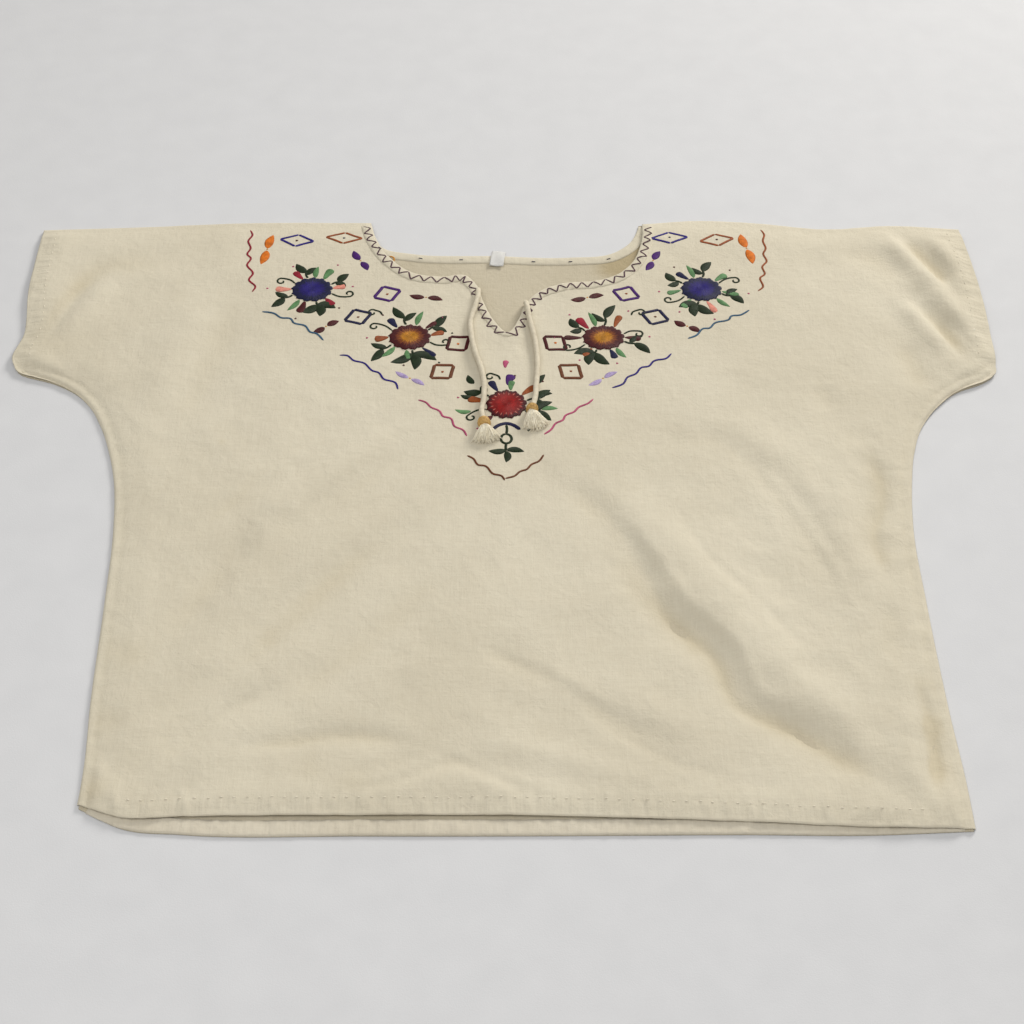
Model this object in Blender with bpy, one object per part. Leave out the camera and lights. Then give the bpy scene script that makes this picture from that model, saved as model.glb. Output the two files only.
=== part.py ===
# Embroidered peasant blouse, laid flat with its front up.
# The body is one cotton cloth folded along the shoulders, with cap sleeves cut in one with it.
# X runs along the shoulders, Y from the hem to the shoulders, Z up from the surface it lies on.
# The tables are in centimetres and millimetres, as their columns say; the model is in metres.

from collections import namedtuple
import math

import bmesh
import bpy
from mathutils import Matrix, Vector
from mathutils.bvhtree import BVHTree
import numpy as np

CM = 0.01
MM = 0.001

# Driving sizes
CLOTH = 1.1 * MM             # wall of the front and back
STRIP = 1.0 * MM             # wall of a turned hem or casing
GAP = 0.3 * MM               # between two pieces that touch
HEM_DEPTH = 12 * MM          # turned bottom hem
SLEEVE_HEM_DEPTH = 13 * MM   # turned sleeve hem
CASING_DEPTH = 10 * MM       # turned neck edge that holds the drawstring
LOFT = 2.6 * MM              # how high the front lies over the back away from its edges
LOFT_REACH = 30 * MM         # how far inside an edge the front reaches that height
SEAM_REACH = 14 * MM         # how far the hem strips stop short of the side seams
SPARE = 0.35 * MM            # room over the strips for the front's own facets
CASING_CROWN = 0.35 * MM     # how far the cord inside rounds up the back casing
STRIP_PROBE = 6 * MM         # a strip hangs below the front's lowest point within this reach
STRIP_MARGIN = 8 * MM        # how far past a strip the front keeps that room
BODY_ROWS = 38               # sections of the front, from the hem to the shoulders
BODY_COLUMNS = 40            # steps across each section
BACK_ROWS = 60               # steps along each side edge of the flat back
BACK_COLUMNS = 30            # steps along its hem and shoulders
UNDERARM_TIP = 12.2 * CM     # y where a side edge turns into the sleeve's mouth

# How the front lies
SOFT_FLOOR = 0.7 * MM        # how softly a trough lands on the back
FOLD_TAPER = 0.3             # the share of a fold's length over which it rises at each end
FOLD_END = 0.25              # the share of its height that is left at its very end
CALM_HEM = 25 * MM           # folds die away over these distances from the hem and neck,
CALM_MOUTH = 12 * MM         # from the sleeves' mouths,
CALM_SEAM = 16 * MM          # and from the closed edges
FADE_HEM = 30 * MM           # the front comes down over this distance past a hem strip
FADE_NECK = 20 * MM          # and past a neck casing

# Where each turned strip runs, as shares of its edge's length
HEM_FRONT_SPAN = (0.055, 0.945)
HEM_BACK_SPAN = (0.04, 0.96)
MOUTH_SPAN = (0.16, 0.78)
CASING_BACK_SPAN = (0.12, 0.88)
CASING_LEFT_SPAN = (0.20, 0.345)
CASING_RIGHT_SPAN = (0.625, 0.81)
HEM_STEPS = 28
MOUTH_STEPS = 11

# The sides of the garment: one row for each section
Side = namedtuple("Side", "y_cm left_cm right_cm")
SIDES = [
    Side(-31.3, -28.0, 31.1),
    Side(-28.0, -28.0, 31.1),
    Side(-22.0, -28.4, 30.9),
    Side(-12.0, -28.8, 30.8),
    Side(-5.0, -29.2, 30.9),
    Side(0.0, -29.9, 31.5),
    Side(3.0, -30.7, 32.1),
    Side(6.0, -31.8, 33.2),
    Side(8.5, -33.2, 35.0),
    Side(10.2, -34.9, 36.9),
    Side(11.2, -36.6, 38.9),
    Side(12.2, -39.2, 40.0),
    Side(13.2, -39.9, 40.2),
    Side(17.0, -39.7, 40.4),
    Side(23.0, -40.3, 40.5),
    Side(27.0, -40.4, 40.3),
    Side(31.3, -40.4, 40.0),
]

# The lower edges of the two layers: one row for each station across
Hem = namedtuple("Hem", "x_cm front_cm back_cm")
HEMS = [
    Hem(-28.0, -29.2, -29.5),
    Hem(-25.0, -30.3, -31.0),
    Hem(-21.0, -30.2, -31.45),
    Hem(-9.0, -30.1, -31.55),
    Hem(0.0, -30.1, -31.55),
    Hem(8.0, -30.3, -31.5),
    Hem(16.0, -30.6, -31.45),
    Hem(24.0, -31.0, -31.5),
    Hem(31.1, -31.1, -31.2),
]

# The fold along the shoulders
Shoulder = namedtuple("Shoulder", "x_cm y_cm")
SHOULDERS = [
    Shoulder(-40.4, 30.2),
    Shoulder(-32.0, 30.6),
    Shoulder(-22.0, 31.2),
    Shoulder(-12.0, 31.2),
    Shoulder(0.0, 31.2),
    Shoulder(12.0, 31.0),
    Shoulder(17.0, 31.5),
    Shoulder(22.0, 31.2),
    Shoulder(28.5, 30.3),
    Shoulder(34.0, 30.8),
    Shoulder(40.0, 30.3),
]

# The neck edge of each layer, from its left shoulder to its right shoulder
Neck = namedtuple("Neck", "x_cm y_cm")
FRONT_NECK = [
    Neck(-11.9, 32.2),
    Neck(-11.1, 28.5),
    Neck(-9.9, 26.1),
    Neck(-7.6, 23.9),
    Neck(-5.1, 23.5),
    Neck(-3.4, 23.7),
    Neck(-2.3, 22.5),
    Neck(-1.7, 20.4),
    Neck(-0.8, 18.0),
    Neck(0.4, 16.4),
    Neck(1.3, 18.0),
    Neck(1.8, 19.8),
    Neck(2.9, 21.5),
    Neck(5.0, 22.6),
    Neck(8.0, 23.0),
    Neck(9.9, 23.9),
    Neck(11.1, 25.3),
    Neck(11.9, 27.5),
    Neck(12.3, 32.2),
]
BACK_NECK = [
    Neck(-12.0, 32.2),
    Neck(-11.6, 29.6),
    Neck(-10.4, 27.7),
    Neck(-8.0, 27.0),
    Neck(-1.0, 26.7),
    Neck(6.0, 26.5),
    Neck(9.4, 27.0),
    Neck(11.0, 28.4),
    Neck(11.7, 29.9),
    Neck(12.1, 32.2),
]

# The largest folds of the front. A positive height is a ridge, a negative one a trough.
Fold = namedtuple("Fold", "name height_mm width_cm route_cm")
FOLDS = [
    Fold("left yoke trough", -1.9, 1.1, [(-6.6, 4.3), (-13.1, -2.3), (-18.0, -7.9)]),
    Fold("left yoke ridge", 1.8, 1.9, [(-8.5, 5.7), (-15.5, -0.2), (-20.6, -6.3)]),
    Fold("left outer trough", -1.7, 1.2, [(-18.3, -4.3), (-21.0, -10.4), (-24.1, -16.4)]),
    Fold("left low ridge", 2.6, 2.3, [(-8.1, -1.8), (-16.1, -10.6), (-24.7, -22.2)]),
    Fold("left low trough", -1.8, 1.2, [(-9.4, -6.3), (-15.1, -14.1), (-21.5, -20.3), (-25.7, -22.8)]),
    Fold("left corner trough", -2.4, 1.2, [(-16.6, -19.6), (-20.3, -22.3), (-24.1, -26.9)]),
    Fold("left corner ridge", 1.7, 1.7, [(-14.9, -20.9), (-19.4, -24.4), (-23.2, -28.3)]),
    Fold("left sleeve trough", -1.6, 1.9, [(-22.7, 21.8), (-23.9, 14.4), (-26.0, 4.1)]),
    Fold("left sleeve ridge", 1.8, 2.3, [(-25.3, 22.5), (-26.5, 14.4), (-28.0, 6.3)]),
    Fold("left sleeve top trough", -1.3, 1.5, [(-37.5, 20.5), (-34.6, 24.7), (-29.1, 25.5)]),
    Fold("hem peak crease", -1.5, 0.8, [(-10.3, -27.9), (-3.4, -25.7), (3.1, -28.3)]),
    Fold("hem peak ridge", 1.4, 1.5, [(-9.3, -29.1), (-3.4, -27.3), (2.6, -29.5)]),
    Fold("left low crease", -1.4, 0.9, [(-18.6, -24.9), (-11.6, -24.0), (-5.5, -24.4)]),
    Fold("middle crease", -1.6, 0.9, [(-1.7, -15.7), (1.3, -17.7), (4.4, -19.4)]),
    Fold("middle low crease", -1.6, 0.9, [(4.9, -20.5), (8.1, -22.8), (11.3, -24.9)]),
    Fold("middle low ridge", 1.5, 1.5, [(6.2, -19.2), (10.2, -22.0), (14.8, -24.7)]),
    Fold("main trough, top", -2.7, 1.4, [(4.1, -0.2), (7.5, -3.5), (10.2, -8.3), (11.1, -12.1)]),
    Fold("main trough, middle", -2.2, 1.3, [(11.1, -12.1), (15.5, -17.0), (15.9, -20.9)]),
    Fold("main trough, foot", -3.4, 1.4, [(15.9, -20.9), (19.7, -23.1), (26.0, -28.1)]),
    Fold("main ridge", 4.2, 2.5, [(6.7, 0.0), (13.8, -9.7), (20.1, -19.2), (25.8, -26.1)]),
    Fold("right yoke trough", -1.6, 1.5, [(12.0, 5.4), (17.0, 3.9), (20.9, -0.7), (25.2, -12.1)]),
    Fold("right yoke ridge", 2.0, 2.0, [(15.6, 5.7), (20.8, 3.0), (24.6, -4.3)]),
    Fold("right side trough", -2.4, 1.2, [(28.1, 4.1), (28.7, -0.2), (27.2, -6.3), (28.0, -9.7)]),
    Fold("right side ridge", 1.9, 1.6, [(26.5, 1.9), (25.9, -6.3), (26.6, -12.1)]),
    Fold("right side low trough", -1.4, 1.0, [(27.7, -12.1), (27.7, -15.7), (27.0, -18.4)]),
    Fold("right hem trough", -3.4, 0.9, [(29.2, -20.9), (29.1, -25.1), (29.0, -29.1)]),
    Fold("right hem ridge", 2.6, 1.4, [(28.1, -20.9), (27.7, -25.1), (27.3, -29.5)]),
    Fold("right sleeve top trough", -3.2, 1.1, [(35.1, 28.7), (37.1, 24.7), (38.5, 21.8)]),
    Fold("right sleeve top ridge", 2.2, 1.2, [(36.9, 29.0), (38.9, 25.5), (39.5, 22.5)]),
    Fold("right sleeve low trough", -3.8, 1.3, [(35.1, 20.5), (36.9, 17.1), (38.3, 13.4)]),
    Fold("right sleeve low ridge", 3.2, 1.7, [(34.5, 24.7), (36.8, 20.5), (39.0, 16.2)]),
    Fold("right sleeve inner trough", -2.1, 1.1, [(32.6, 15.6), (33.3, 12.6), (33.9, 9.5)]),
    Fold("right shoulder trough", -1.7, 1.4, [(29.2, 27.1), (32.4, 25.5), (34.8, 22.5)]),
    Fold("right underarm trough", -1.3, 1.0, [(25.7, 10.3), (25.8, 7.2)]),
    Fold("slit right trough", -1.2, 0.8, [(1.8, 18.8), (2.2, 13.5)]),
    Fold("slit left trough", -1.2, 0.8, [(-3.4, 17.4), (-3.1, 10.4), (-2.9, 4.6)]),
]

# The drawstring's free ends
CORD_DIAMETER = 4.6 * MM
CORD_STEP = 12 * MM
LEFT_CORD = [
    (-2.1, 20.6), (-2.35, 19.3), (-2.7, 17.5), (-2.6, 15.9), (-2.2, 13.6), (-1.8, 12.1),
    (-1.5, 10.4), (-1.5, 8.5), (-1.65, 6.9), (-1.5, 5.8),
]
RIGHT_CORD = [
    (2.05, 19.1), (2.2, 17.9), (2.45, 16.6), (2.7, 14.8), (2.8, 13.4), (2.8, 11.9),
    (2.7, 10.0), (2.6, 8.5), (2.4, 7.3),
]
CORD_RISE = 0.6 * MM         # how far the cord's underside lies over the cloth's highest threads

# Thread caps and tassels, one row for each end of the cord
End = namedtuple("End", "side route cap_radius_mm cap_length_mm head_mm wide_mm long_mm high_mm lean_deg")
ENDS = [
    End("left", LEFT_CORD, 5.0, 8.0, 4.2, 11.0, 14.0, 6.4, 0),
    End("right", RIGHT_CORD, 4.4, 6.0, 3.9, 8.6, 15.0, 6.4, 18),
]
LOCK_UNEVEN = 1.12           # the longest lock over the middling one
LOCK_TAPER = 0.55            # a lock's tip over its root
LOCK_INSET = 0.16            # the space round a lock's root over the head's radius
LOCK_BACK = -0.15            # locks leave out the part of the head that faces the cap
CAP_TURNS = 4                # wound ridges along a thread cap
CAP_SIDES = 12
CAP_NECK = 0.72              # a cap's radius at its ends over its full radius
CAP_SWELL = 0.20             # how much it swells at the middle of its length
CAP_RIDGE = 0.08             # how far each wound ridge stands out

# The label
LABEL_WIDTH = 12 * MM
LABEL_LENGTH = 19 * MM
LABEL_WALL = 1.0 * MM
LABEL_AT = (-0.5 * CM, 26.2 * CM)
LABEL_TURN = -6              # degrees

COLOURS = {
    "cotton": (0.62, 0.56, 0.42, 1),
    "turned_cotton": (0.68, 0.60, 0.44, 1),
    "label": (0.78, 0.78, 0.76, 1),
    "cord": (0.70, 0.64, 0.48, 1),
    "gold_thread": (0.52, 0.33, 0.09, 1),
    "tassel_yarn": (0.80, 0.74, 0.58, 1),
}


def clear_scene():
    for thing in list(bpy.data.objects):
        bpy.data.objects.remove(thing, do_unlink=True)


def material(name):
    made = bpy.data.materials.get(name)
    if made is None:
        made = bpy.data.materials.new(name)
        made.use_nodes = True
        shader = made.node_tree.nodes["Principled BSDF"]
        shader.inputs["Base Color"].default_value = COLOURS[name]
        shader.inputs["Roughness"].default_value = 0.9
        shader.inputs["Metallic"].default_value = 0.0
    return made


def add_piece(name, mesh_data, finish):
    piece = bpy.data.objects.new(name, mesh_data)
    piece.data.materials.append(material(finish))
    bpy.context.scene.collection.objects.link(piece)
    return piece


def finish_mesh(name, bm, finish):
    """Closes a bmesh into a named object, its faces pointing out."""
    bmesh.ops.recalc_face_normals(bm, faces=bm.faces[:])
    made = bpy.data.meshes.new(name)
    bm.to_mesh(made)
    bm.free()
    return add_piece(name, made, finish)


def curve_through(stations, values, at):
    """A smooth curve through the rows of a table, read at any places."""
    stations = np.asarray(stations, float)
    values = np.asarray(values, float)
    steps = np.diff(stations)
    slopes = np.diff(values) / steps
    ends = np.concatenate([slopes[:1], slopes, slopes[-1:]])
    weights = np.concatenate([steps[:1], steps, steps[-1:]])
    tangents = (ends[:-1] * weights[1:] + ends[1:] * weights[:-1]) / (weights[:-1] + weights[1:])
    at = np.clip(at, stations[0], stations[-1])
    row = np.clip(np.searchsorted(stations, at, side="right") - 1, 0, len(steps) - 1)
    part = (at - stations[row]) / steps[row]
    rest = 1 - part
    start = values[row] * (1 + 2 * part) + tangents[row] * steps[row] * part
    stop = values[row + 1] * (3 - 2 * part) - tangents[row + 1] * steps[row] * rest
    return start * rest ** 2 + stop * part ** 2


def smooth_route(points, step):
    """Evenly spaced points along a smooth curve through a route's own points."""
    points = np.asarray(points, float)
    runs = np.linalg.norm(np.diff(points, axis=0), axis=1)
    along = np.concatenate([[0], np.cumsum(runs)])
    count = max(2, int(round(along[-1] / step)) + 1)
    places = np.linspace(0, along[-1], count)
    return np.stack([curve_through(along, axis, places) for axis in points.T], axis=1)


def in_metres(points):
    return [(x * CM, y * CM) for x, y in points]


def side_x(y, side):
    rows = [row.y_cm * CM for row in SIDES]
    return curve_through(rows, [getattr(row, side + "_cm") * CM for row in SIDES], y)


def hem_y(x, layer):
    rows = [row.x_cm * CM for row in HEMS]
    return curve_through(rows, [getattr(row, layer + "_cm") * CM for row in HEMS], x)


def shoulder_y(x):
    return curve_through([row.x_cm * CM for row in SHOULDERS], [row.y_cm * CM for row in SHOULDERS], x)


SIDE_LOW = SIDES[0].y_cm * CM
SIDE_HIGH = SIDES[-1].y_cm * CM


def section_heights(count):
    """Heights of the sections, even along the left side, so they crowd at the underarm."""
    fine = np.linspace(SIDE_LOW, SIDE_HIGH, 600)
    edge = np.stack([side_x(fine, "left"), fine], axis=1)
    runs = np.linalg.norm(np.diff(edge, axis=0), axis=1)
    along = np.concatenate([[0], np.cumsum(runs)])
    return np.interp(np.linspace(0, along[-1], count), along, fine)


def lay_out(across, up, layer):
    """Where a point of the cut lies: across from the left side, up from the hem, each 0 to 1."""
    y = SIDE_LOW + (SIDE_HIGH - SIDE_LOW) * up
    left = side_x(y, "left")
    right = side_x(y, "right")
    x = left + (right - left) * across
    low = hem_y(x, layer) - SIDE_LOW
    high = shoulder_y(x) - SIDE_HIGH
    return x, y + low * (1 - up) ** 3 + high * up ** 3


def distance_to(x, y, line):
    """Distance of each point to a line of points, and how far along the line it falls, 0 to 1."""
    line = np.asarray(line, float)
    best = np.full(np.shape(x), 1e9)
    place = np.zeros(np.shape(x))
    last = len(line) - 1
    for index in range(last):
        (ax, ay), (bx, by) = line[index], line[index + 1]
        dx, dy = bx - ax, by - ay
        part = np.clip(((x - ax) * dx + (y - ay) * dy) / (dx * dx + dy * dy), 0, 1)
        far = np.hypot(x - ax - part * dx, y - ay - part * dy)
        nearer = far < best
        best = np.where(nearer, far, best)
        place = np.where(nearer, (index + part) / last, place)
    return best, place


def ease(value):
    """0 below 0, 1 above 1, and a soft step between."""
    value = np.clip(value, 0, 1)
    return value * value * (3 - 2 * value)


def edge_line(side):
    """One side's edge from the hem up to the sleeve mouth."""
    heights = np.linspace(SIDE_LOW, UNDERARM_TIP, 40)
    return np.stack([side_x(heights, side), heights], axis=1)


def sleeve_mouth(side):
    heights = np.linspace(UNDERARM_TIP, SIDE_HIGH, 16)
    return np.stack([side_x(heights, side), heights], axis=1)


def hem_line(layer):
    stations = np.linspace(SIDES[0].left_cm * CM, SIDES[0].right_cm * CM, 30)
    return np.stack([stations, hem_y(stations, layer)], axis=1)


def shoulder_line():
    stations = np.linspace(SHOULDERS[0].x_cm * CM, SHOULDERS[-1].x_cm * CM, 40)
    return np.stack([stations, shoulder_y(stations)], axis=1)


CLOSED_EDGES = [edge_line("left"), edge_line("right"), shoulder_line()]
MOUTHS = [sleeve_mouth("left"), sleeve_mouth("right")]
FRONT_HEM = hem_line("front")
FOLD_ROUTES = [smooth_route(in_metres(fold.route_cm), 1.5 * CM) for fold in FOLDS]
FRONT_NECK_LINE = smooth_route([(row.x_cm * CM, row.y_cm * CM) for row in FRONT_NECK], 0.7 * CM)
BACK_NECK_LINE = smooth_route([(row.x_cm * CM, row.y_cm * CM) for row in BACK_NECK], 1.0 * CM)


def lift_at(reach, amount, full, fade):
    """A lift that holds for a distance from an edge and then fades out."""
    return amount * (1 - ease((reach - full) / fade))


def fold_heights(x, y):
    """Ridges and troughs of the front, each rising and dying away along its route."""
    total = np.zeros(np.shape(x))
    for fold, route in zip(FOLDS, FOLD_ROUTES):
        away, along = distance_to(x, y, route)
        taper = ease(along / FOLD_TAPER) * ease((1 - along) / FOLD_TAPER)
        across = np.exp(-(away / (fold.width_cm * CM)) ** 2)
        total = total + fold.height_mm * MM * across * (FOLD_END + (1 - FOLD_END) * taper)
    return total


def room_for_strips(hem, mouth, neck):
    """How far the front has to stand off the back over its turned hems and casing."""
    one_strip = STRIP + GAP + SPARE
    two_strips = one_strip + STRIP + GAP
    return np.maximum.reduce([
        lift_at(hem, two_strips, HEM_DEPTH + STRIP_MARGIN, FADE_HEM),
        lift_at(mouth, two_strips, SLEEVE_HEM_DEPTH + STRIP_MARGIN, FADE_HEM),
        lift_at(neck, one_strip, CASING_DEPTH + STRIP_MARGIN, FADE_NECK),
    ])


def front_underside(x, y):
    """Height of the front's lower face over the surface the garment lies on."""
    x = np.asarray(x, float)
    y = np.asarray(y, float)
    closed = np.min([distance_to(x, y, line)[0] for line in CLOSED_EDGES], axis=0)
    mouth = np.min([distance_to(x, y, line)[0] for line in MOUTHS], axis=0)
    hem = distance_to(x, y, FRONT_HEM)[0]
    neck = distance_to(x, y, FRONT_NECK_LINE)[0]
    calm = ease(np.minimum(hem, neck) / CALM_HEM) * ease(mouth / CALM_MOUTH) * ease(closed / CALM_SEAM)
    shape = LOFT * ease(closed / LOFT_REACH) + fold_heights(x, y) * calm
    settle = ease(closed / SEAM_REACH)
    landed = SOFT_FLOOR * np.log1p(np.exp(shape / SOFT_FLOOR))
    landed = landed - SOFT_FLOOR * math.log(2) * (1 - settle)
    lifted = np.maximum(landed, room_for_strips(hem, mouth, neck) * settle)
    return CLOTH + GAP + np.maximum(lifted, 0) * settle


def wall(bm, thickness):
    """Turns an open sheet into a closed wall of even thickness, upwards."""
    grown = bmesh.ops.extrude_face_region(bm, geom=bm.faces[:])
    moved = [item for item in grown["geom"] if isinstance(item, bmesh.types.BMVert)]
    bmesh.ops.translate(bm, verts=moved, vec=(0, 0, thickness))


def prism(name, outline, low, high):
    """A cutter with an outline's shape, which the build leaves out."""
    bm = bmesh.new()
    corners = [bm.verts.new((x, y, low)) for x, y in outline]
    bm.faces.new(corners)
    wall(bm, high - low)
    cutter = finish_mesh(name, bm, "cotton")
    cutter.hide_render = True
    cutter.display_type = "WIRE"
    return cutter


def cut(piece, cutter):
    tool = piece.modifiers.new("neck", "BOOLEAN")
    tool.operation = "DIFFERENCE"
    tool.solver = "EXACT"
    tool.object = cutter


def grid_sheet(rows, columns):
    """A square sheet of cells, 0 to 1 both ways, before it is laid out."""
    bm = bmesh.new()
    bmesh.ops.create_grid(bm, x_segments=columns, y_segments=rows, size=0.5)
    bmesh.ops.translate(bm, verts=bm.verts[:], vec=(0.5, 0.5, 0))
    return bm


def place(bm, layout):
    """Moves every point of a sheet to where layout(across, up) says."""
    points = np.array([vert.co[:] for vert in bm.verts])
    x, y, z = layout(points[:, 0], points[:, 1])
    for vert, spot in zip(bm.verts, zip(x, y, z)):
        vert.co = spot


def up_of_rows(rows):
    """Even steps of a sheet turned into the sections' own spacing."""
    heights = section_heights(rows + 1)
    return (heights - SIDE_LOW) / (SIDE_HIGH - SIDE_LOW)


def front_sheet():
    """The front's lower face as an open sheet, before it gets its wall."""
    sections = up_of_rows(BODY_ROWS)

    def layout(across, up):
        spaced = np.interp(up, np.linspace(0, 1, len(sections)), sections)
        x, y = lay_out(across, spaced, "front")
        return x, y, front_underside(x, y)

    bm = grid_sheet(BODY_ROWS, BODY_COLUMNS)
    place(bm, layout)
    bmesh.ops.triangulate(bm, faces=bm.faces[:])
    return bm


FRONT_FACETS = BVHTree.FromBMesh(front_sheet())
PROBE_FROM = 100 * MM


def facet_heights(x, y, spread, pick):
    """Heights of the front's lower face round each point, its lowest or highest as pick says."""
    around = [(0, 0), (spread, 0), (-spread, 0), (0, spread), (0, -spread)]
    found = []
    for px, py in zip(np.ravel(x), np.ravel(y)):
        heights = []
        for dx, dy in around:
            hit = FRONT_FACETS.ray_cast(Vector((px + dx, py + dy, PROBE_FROM)), Vector((0, 0, -1)))[0]
            if hit is not None:
                heights.append(hit.z)
        if not heights:
            heights.append(float(front_underside(px, py)))
        found.append(pick(heights))
    return np.reshape(found, np.shape(x))


def front_top(x, y, spread=0.0):
    return facet_heights(x, y, spread, max) + CLOTH


def make_front():
    bm = front_sheet()
    wall(bm, CLOTH)
    front = finish_mesh("body_front", bm, "cotton")
    cut(front, prism("front_neck_cutter", FRONT_NECK_LINE, -10 * MM, 40 * MM))


def make_back():
    sections = up_of_rows(BACK_ROWS)

    def layout(across, up):
        spaced = np.interp(up, np.linspace(0, 1, len(sections)), sections)
        x, y = lay_out(across, spaced, "back")
        return x, y, np.zeros(np.shape(x))

    bm = grid_sheet(BACK_ROWS, BACK_COLUMNS)
    place(bm, layout)
    inner = [edge for edge in bm.edges if not edge.is_boundary]
    bmesh.ops.dissolve_edges(bm, edges=inner, use_verts=False)
    wall(bm, CLOTH)
    back = finish_mesh("body_back", bm, "cotton")
    cut(back, prism("back_neck_cutter", BACK_NECK_LINE, -10 * MM, 20 * MM))


def inner_normals(line, inward):
    runs = np.gradient(line, axis=0)
    runs = runs / np.linalg.norm(runs, axis=1)[:, None]
    return np.stack([-runs[:, 1], runs[:, 0]], axis=1) * inward


def strip_along(name, line, width, inward, height, crown=0.0):
    """A turned edge: a level band beside a line, on its inner side, its upper face crowned or flat."""
    normals = inner_normals(line, inward)
    index = np.arange(len(line))
    across_steps = 4 if crown else 1

    def layout(along, across):
        at = along * index[-1]
        x = np.interp(at, index, line[:, 0]) + np.interp(at, index, normals[:, 0]) * across * width
        y = np.interp(at, index, line[:, 1]) + np.interp(at, index, normals[:, 1]) * across * width
        return x, y, np.full(np.shape(x), height)

    bm = grid_sheet(across_steps, len(line) - 1)
    place(bm, layout)
    wall(bm, STRIP)
    for vert in bm.verts:
        if crown and vert.co.z > height + STRIP / 2:
            far = float(distance_to(vert.co.x, vert.co.y, line)[0]) / width
            vert.co.z += crown * math.sin(math.pi * min(far, 1))
    return finish_mesh(name, bm, "turned_cotton")


ON_BACK = CLOTH + GAP


def under_front(line, width, inward):
    """The height at which a level strip hangs just clear below the front, all along a line."""
    normals = inner_normals(line, inward)
    lows = []
    for share in (0.1, 0.5, 1.0, 1.3):
        spots = line + normals * share * width
        lows.append(facet_heights(spots[:, 0], spots[:, 1], STRIP_PROBE, min).min())
    return min(lows) - GAP - STRIP


def between(line, span, steps):
    """Part of a line, from one share of its length to another, in even steps."""
    runs = np.linalg.norm(np.diff(line, axis=0), axis=1)
    along = np.concatenate([[0], np.cumsum(runs)])
    places = np.linspace(span[0] * along[-1], span[1] * along[-1], steps + 1)
    return np.stack([np.interp(places, along, axis) for axis in line.T], axis=1)


def make_hems():
    front = between(hem_line("front"), HEM_FRONT_SPAN, HEM_STEPS)
    back = between(hem_line("back"), HEM_BACK_SPAN, HEM_STEPS)
    strip_along("hem_front", front, HEM_DEPTH, 1, under_front(front, HEM_DEPTH, 1))
    strip_along("hem_back", back, HEM_DEPTH, 1, ON_BACK)


def make_sleeve_hems():
    depth = SLEEVE_HEM_DEPTH
    for side, inward in (("left", -1), ("right", 1)):
        mouth = between(sleeve_mouth(side), MOUTH_SPAN, MOUTH_STEPS)
        level = under_front(mouth, depth, inward)
        strip_along("sleeve_hem_%s_front" % side, mouth, depth, inward, level)
        strip_along("sleeve_hem_%s_back" % side, mouth, depth, inward, ON_BACK)


def make_casings():
    back = between(BACK_NECK_LINE, CASING_BACK_SPAN, 32)
    strip_along("neck_casing_back", back, CASING_DEPTH, -1, ON_BACK, crown=CASING_CROWN)
    for side, span, steps in (("left", CASING_LEFT_SPAN, 8), ("right", CASING_RIGHT_SPAN, 11)):
        line = between(FRONT_NECK_LINE, span, steps)
        level = under_front(line, CASING_DEPTH, -1)
        strip_along("neck_casing_front_" + side, line, CASING_DEPTH, -1, level)


def make_label():
    height = ON_BACK + STRIP + CASING_CROWN + GAP
    bm = bmesh.new()
    bmesh.ops.create_cube(bm, size=1)
    turn = Matrix.Rotation(math.radians(LABEL_TURN), 4, "Z")
    scale = Matrix.Diagonal((LABEL_WIDTH, LABEL_LENGTH, LABEL_WALL, 1))
    spot = Matrix.Translation((LABEL_AT[0], LABEL_AT[1], height + LABEL_WALL / 2))
    bmesh.ops.transform(bm, matrix=spot @ turn @ scale, verts=bm.verts[:])
    upright = [edge for edge in bm.edges
               if abs(edge.verts[0].co.z - edge.verts[1].co.z) > LABEL_WALL / 2]
    bmesh.ops.bevel(bm, geom=upright, offset=1.0 * MM, segments=2, profile=0.5,
                    affect="EDGES", material=-1)
    finish_mesh("neck_label", bm, "label")


def cord_points(end):
    """The cord's middle line, over the cloth it lies on."""
    flat = smooth_route(in_metres(end.route), CORD_STEP)
    radius = CORD_DIAMETER / 2
    high = front_top(flat[:, 0], flat[:, 1], radius) + CORD_RISE + radius
    cap = end.cap_radius_mm * MM
    high[-1] = cap_ground(end, flat) + CORD_RISE + cap
    calm = high.copy()
    calm[1:-1] = np.maximum(high[1:-1], (high[:-2] + high[1:-1] + high[2:]) / 3)
    return np.column_stack([flat, calm])


def cap_ground(end, flat):
    """The highest cloth under a thread cap, which goes on from the cord's last point."""
    run = flat[-1] - flat[-2]
    run = run / np.linalg.norm(run)
    steps = np.linspace(0, end.cap_length_mm * MM, 4)[:, None]
    spots = flat[-1] + steps * run
    return float(front_top(spots[:, 0], spots[:, 1], end.cap_radius_mm * MM).max())


def make_cord(end, points):
    line = bpy.data.curves.new("drawstring_" + end.side, "CURVE")
    line.dimensions = "3D"
    line.bevel_depth = CORD_DIAMETER / 2
    line.bevel_resolution = 2
    line.use_fill_caps = True
    spline = line.splines.new("POLY")
    spline.points.add(len(points) - 1)
    for spot, point in zip(spline.points, points):
        spot.co = (*point, 1)
    add_piece("drawstring_" + end.side, line, "cord")


def facing(direction, at):
    """Turns a shape's own Z along a direction and moves it to its place."""
    turn = Vector(direction).to_track_quat("Z", "Y").to_matrix().to_4x4()
    return Matrix.Translation(at) @ turn


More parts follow.
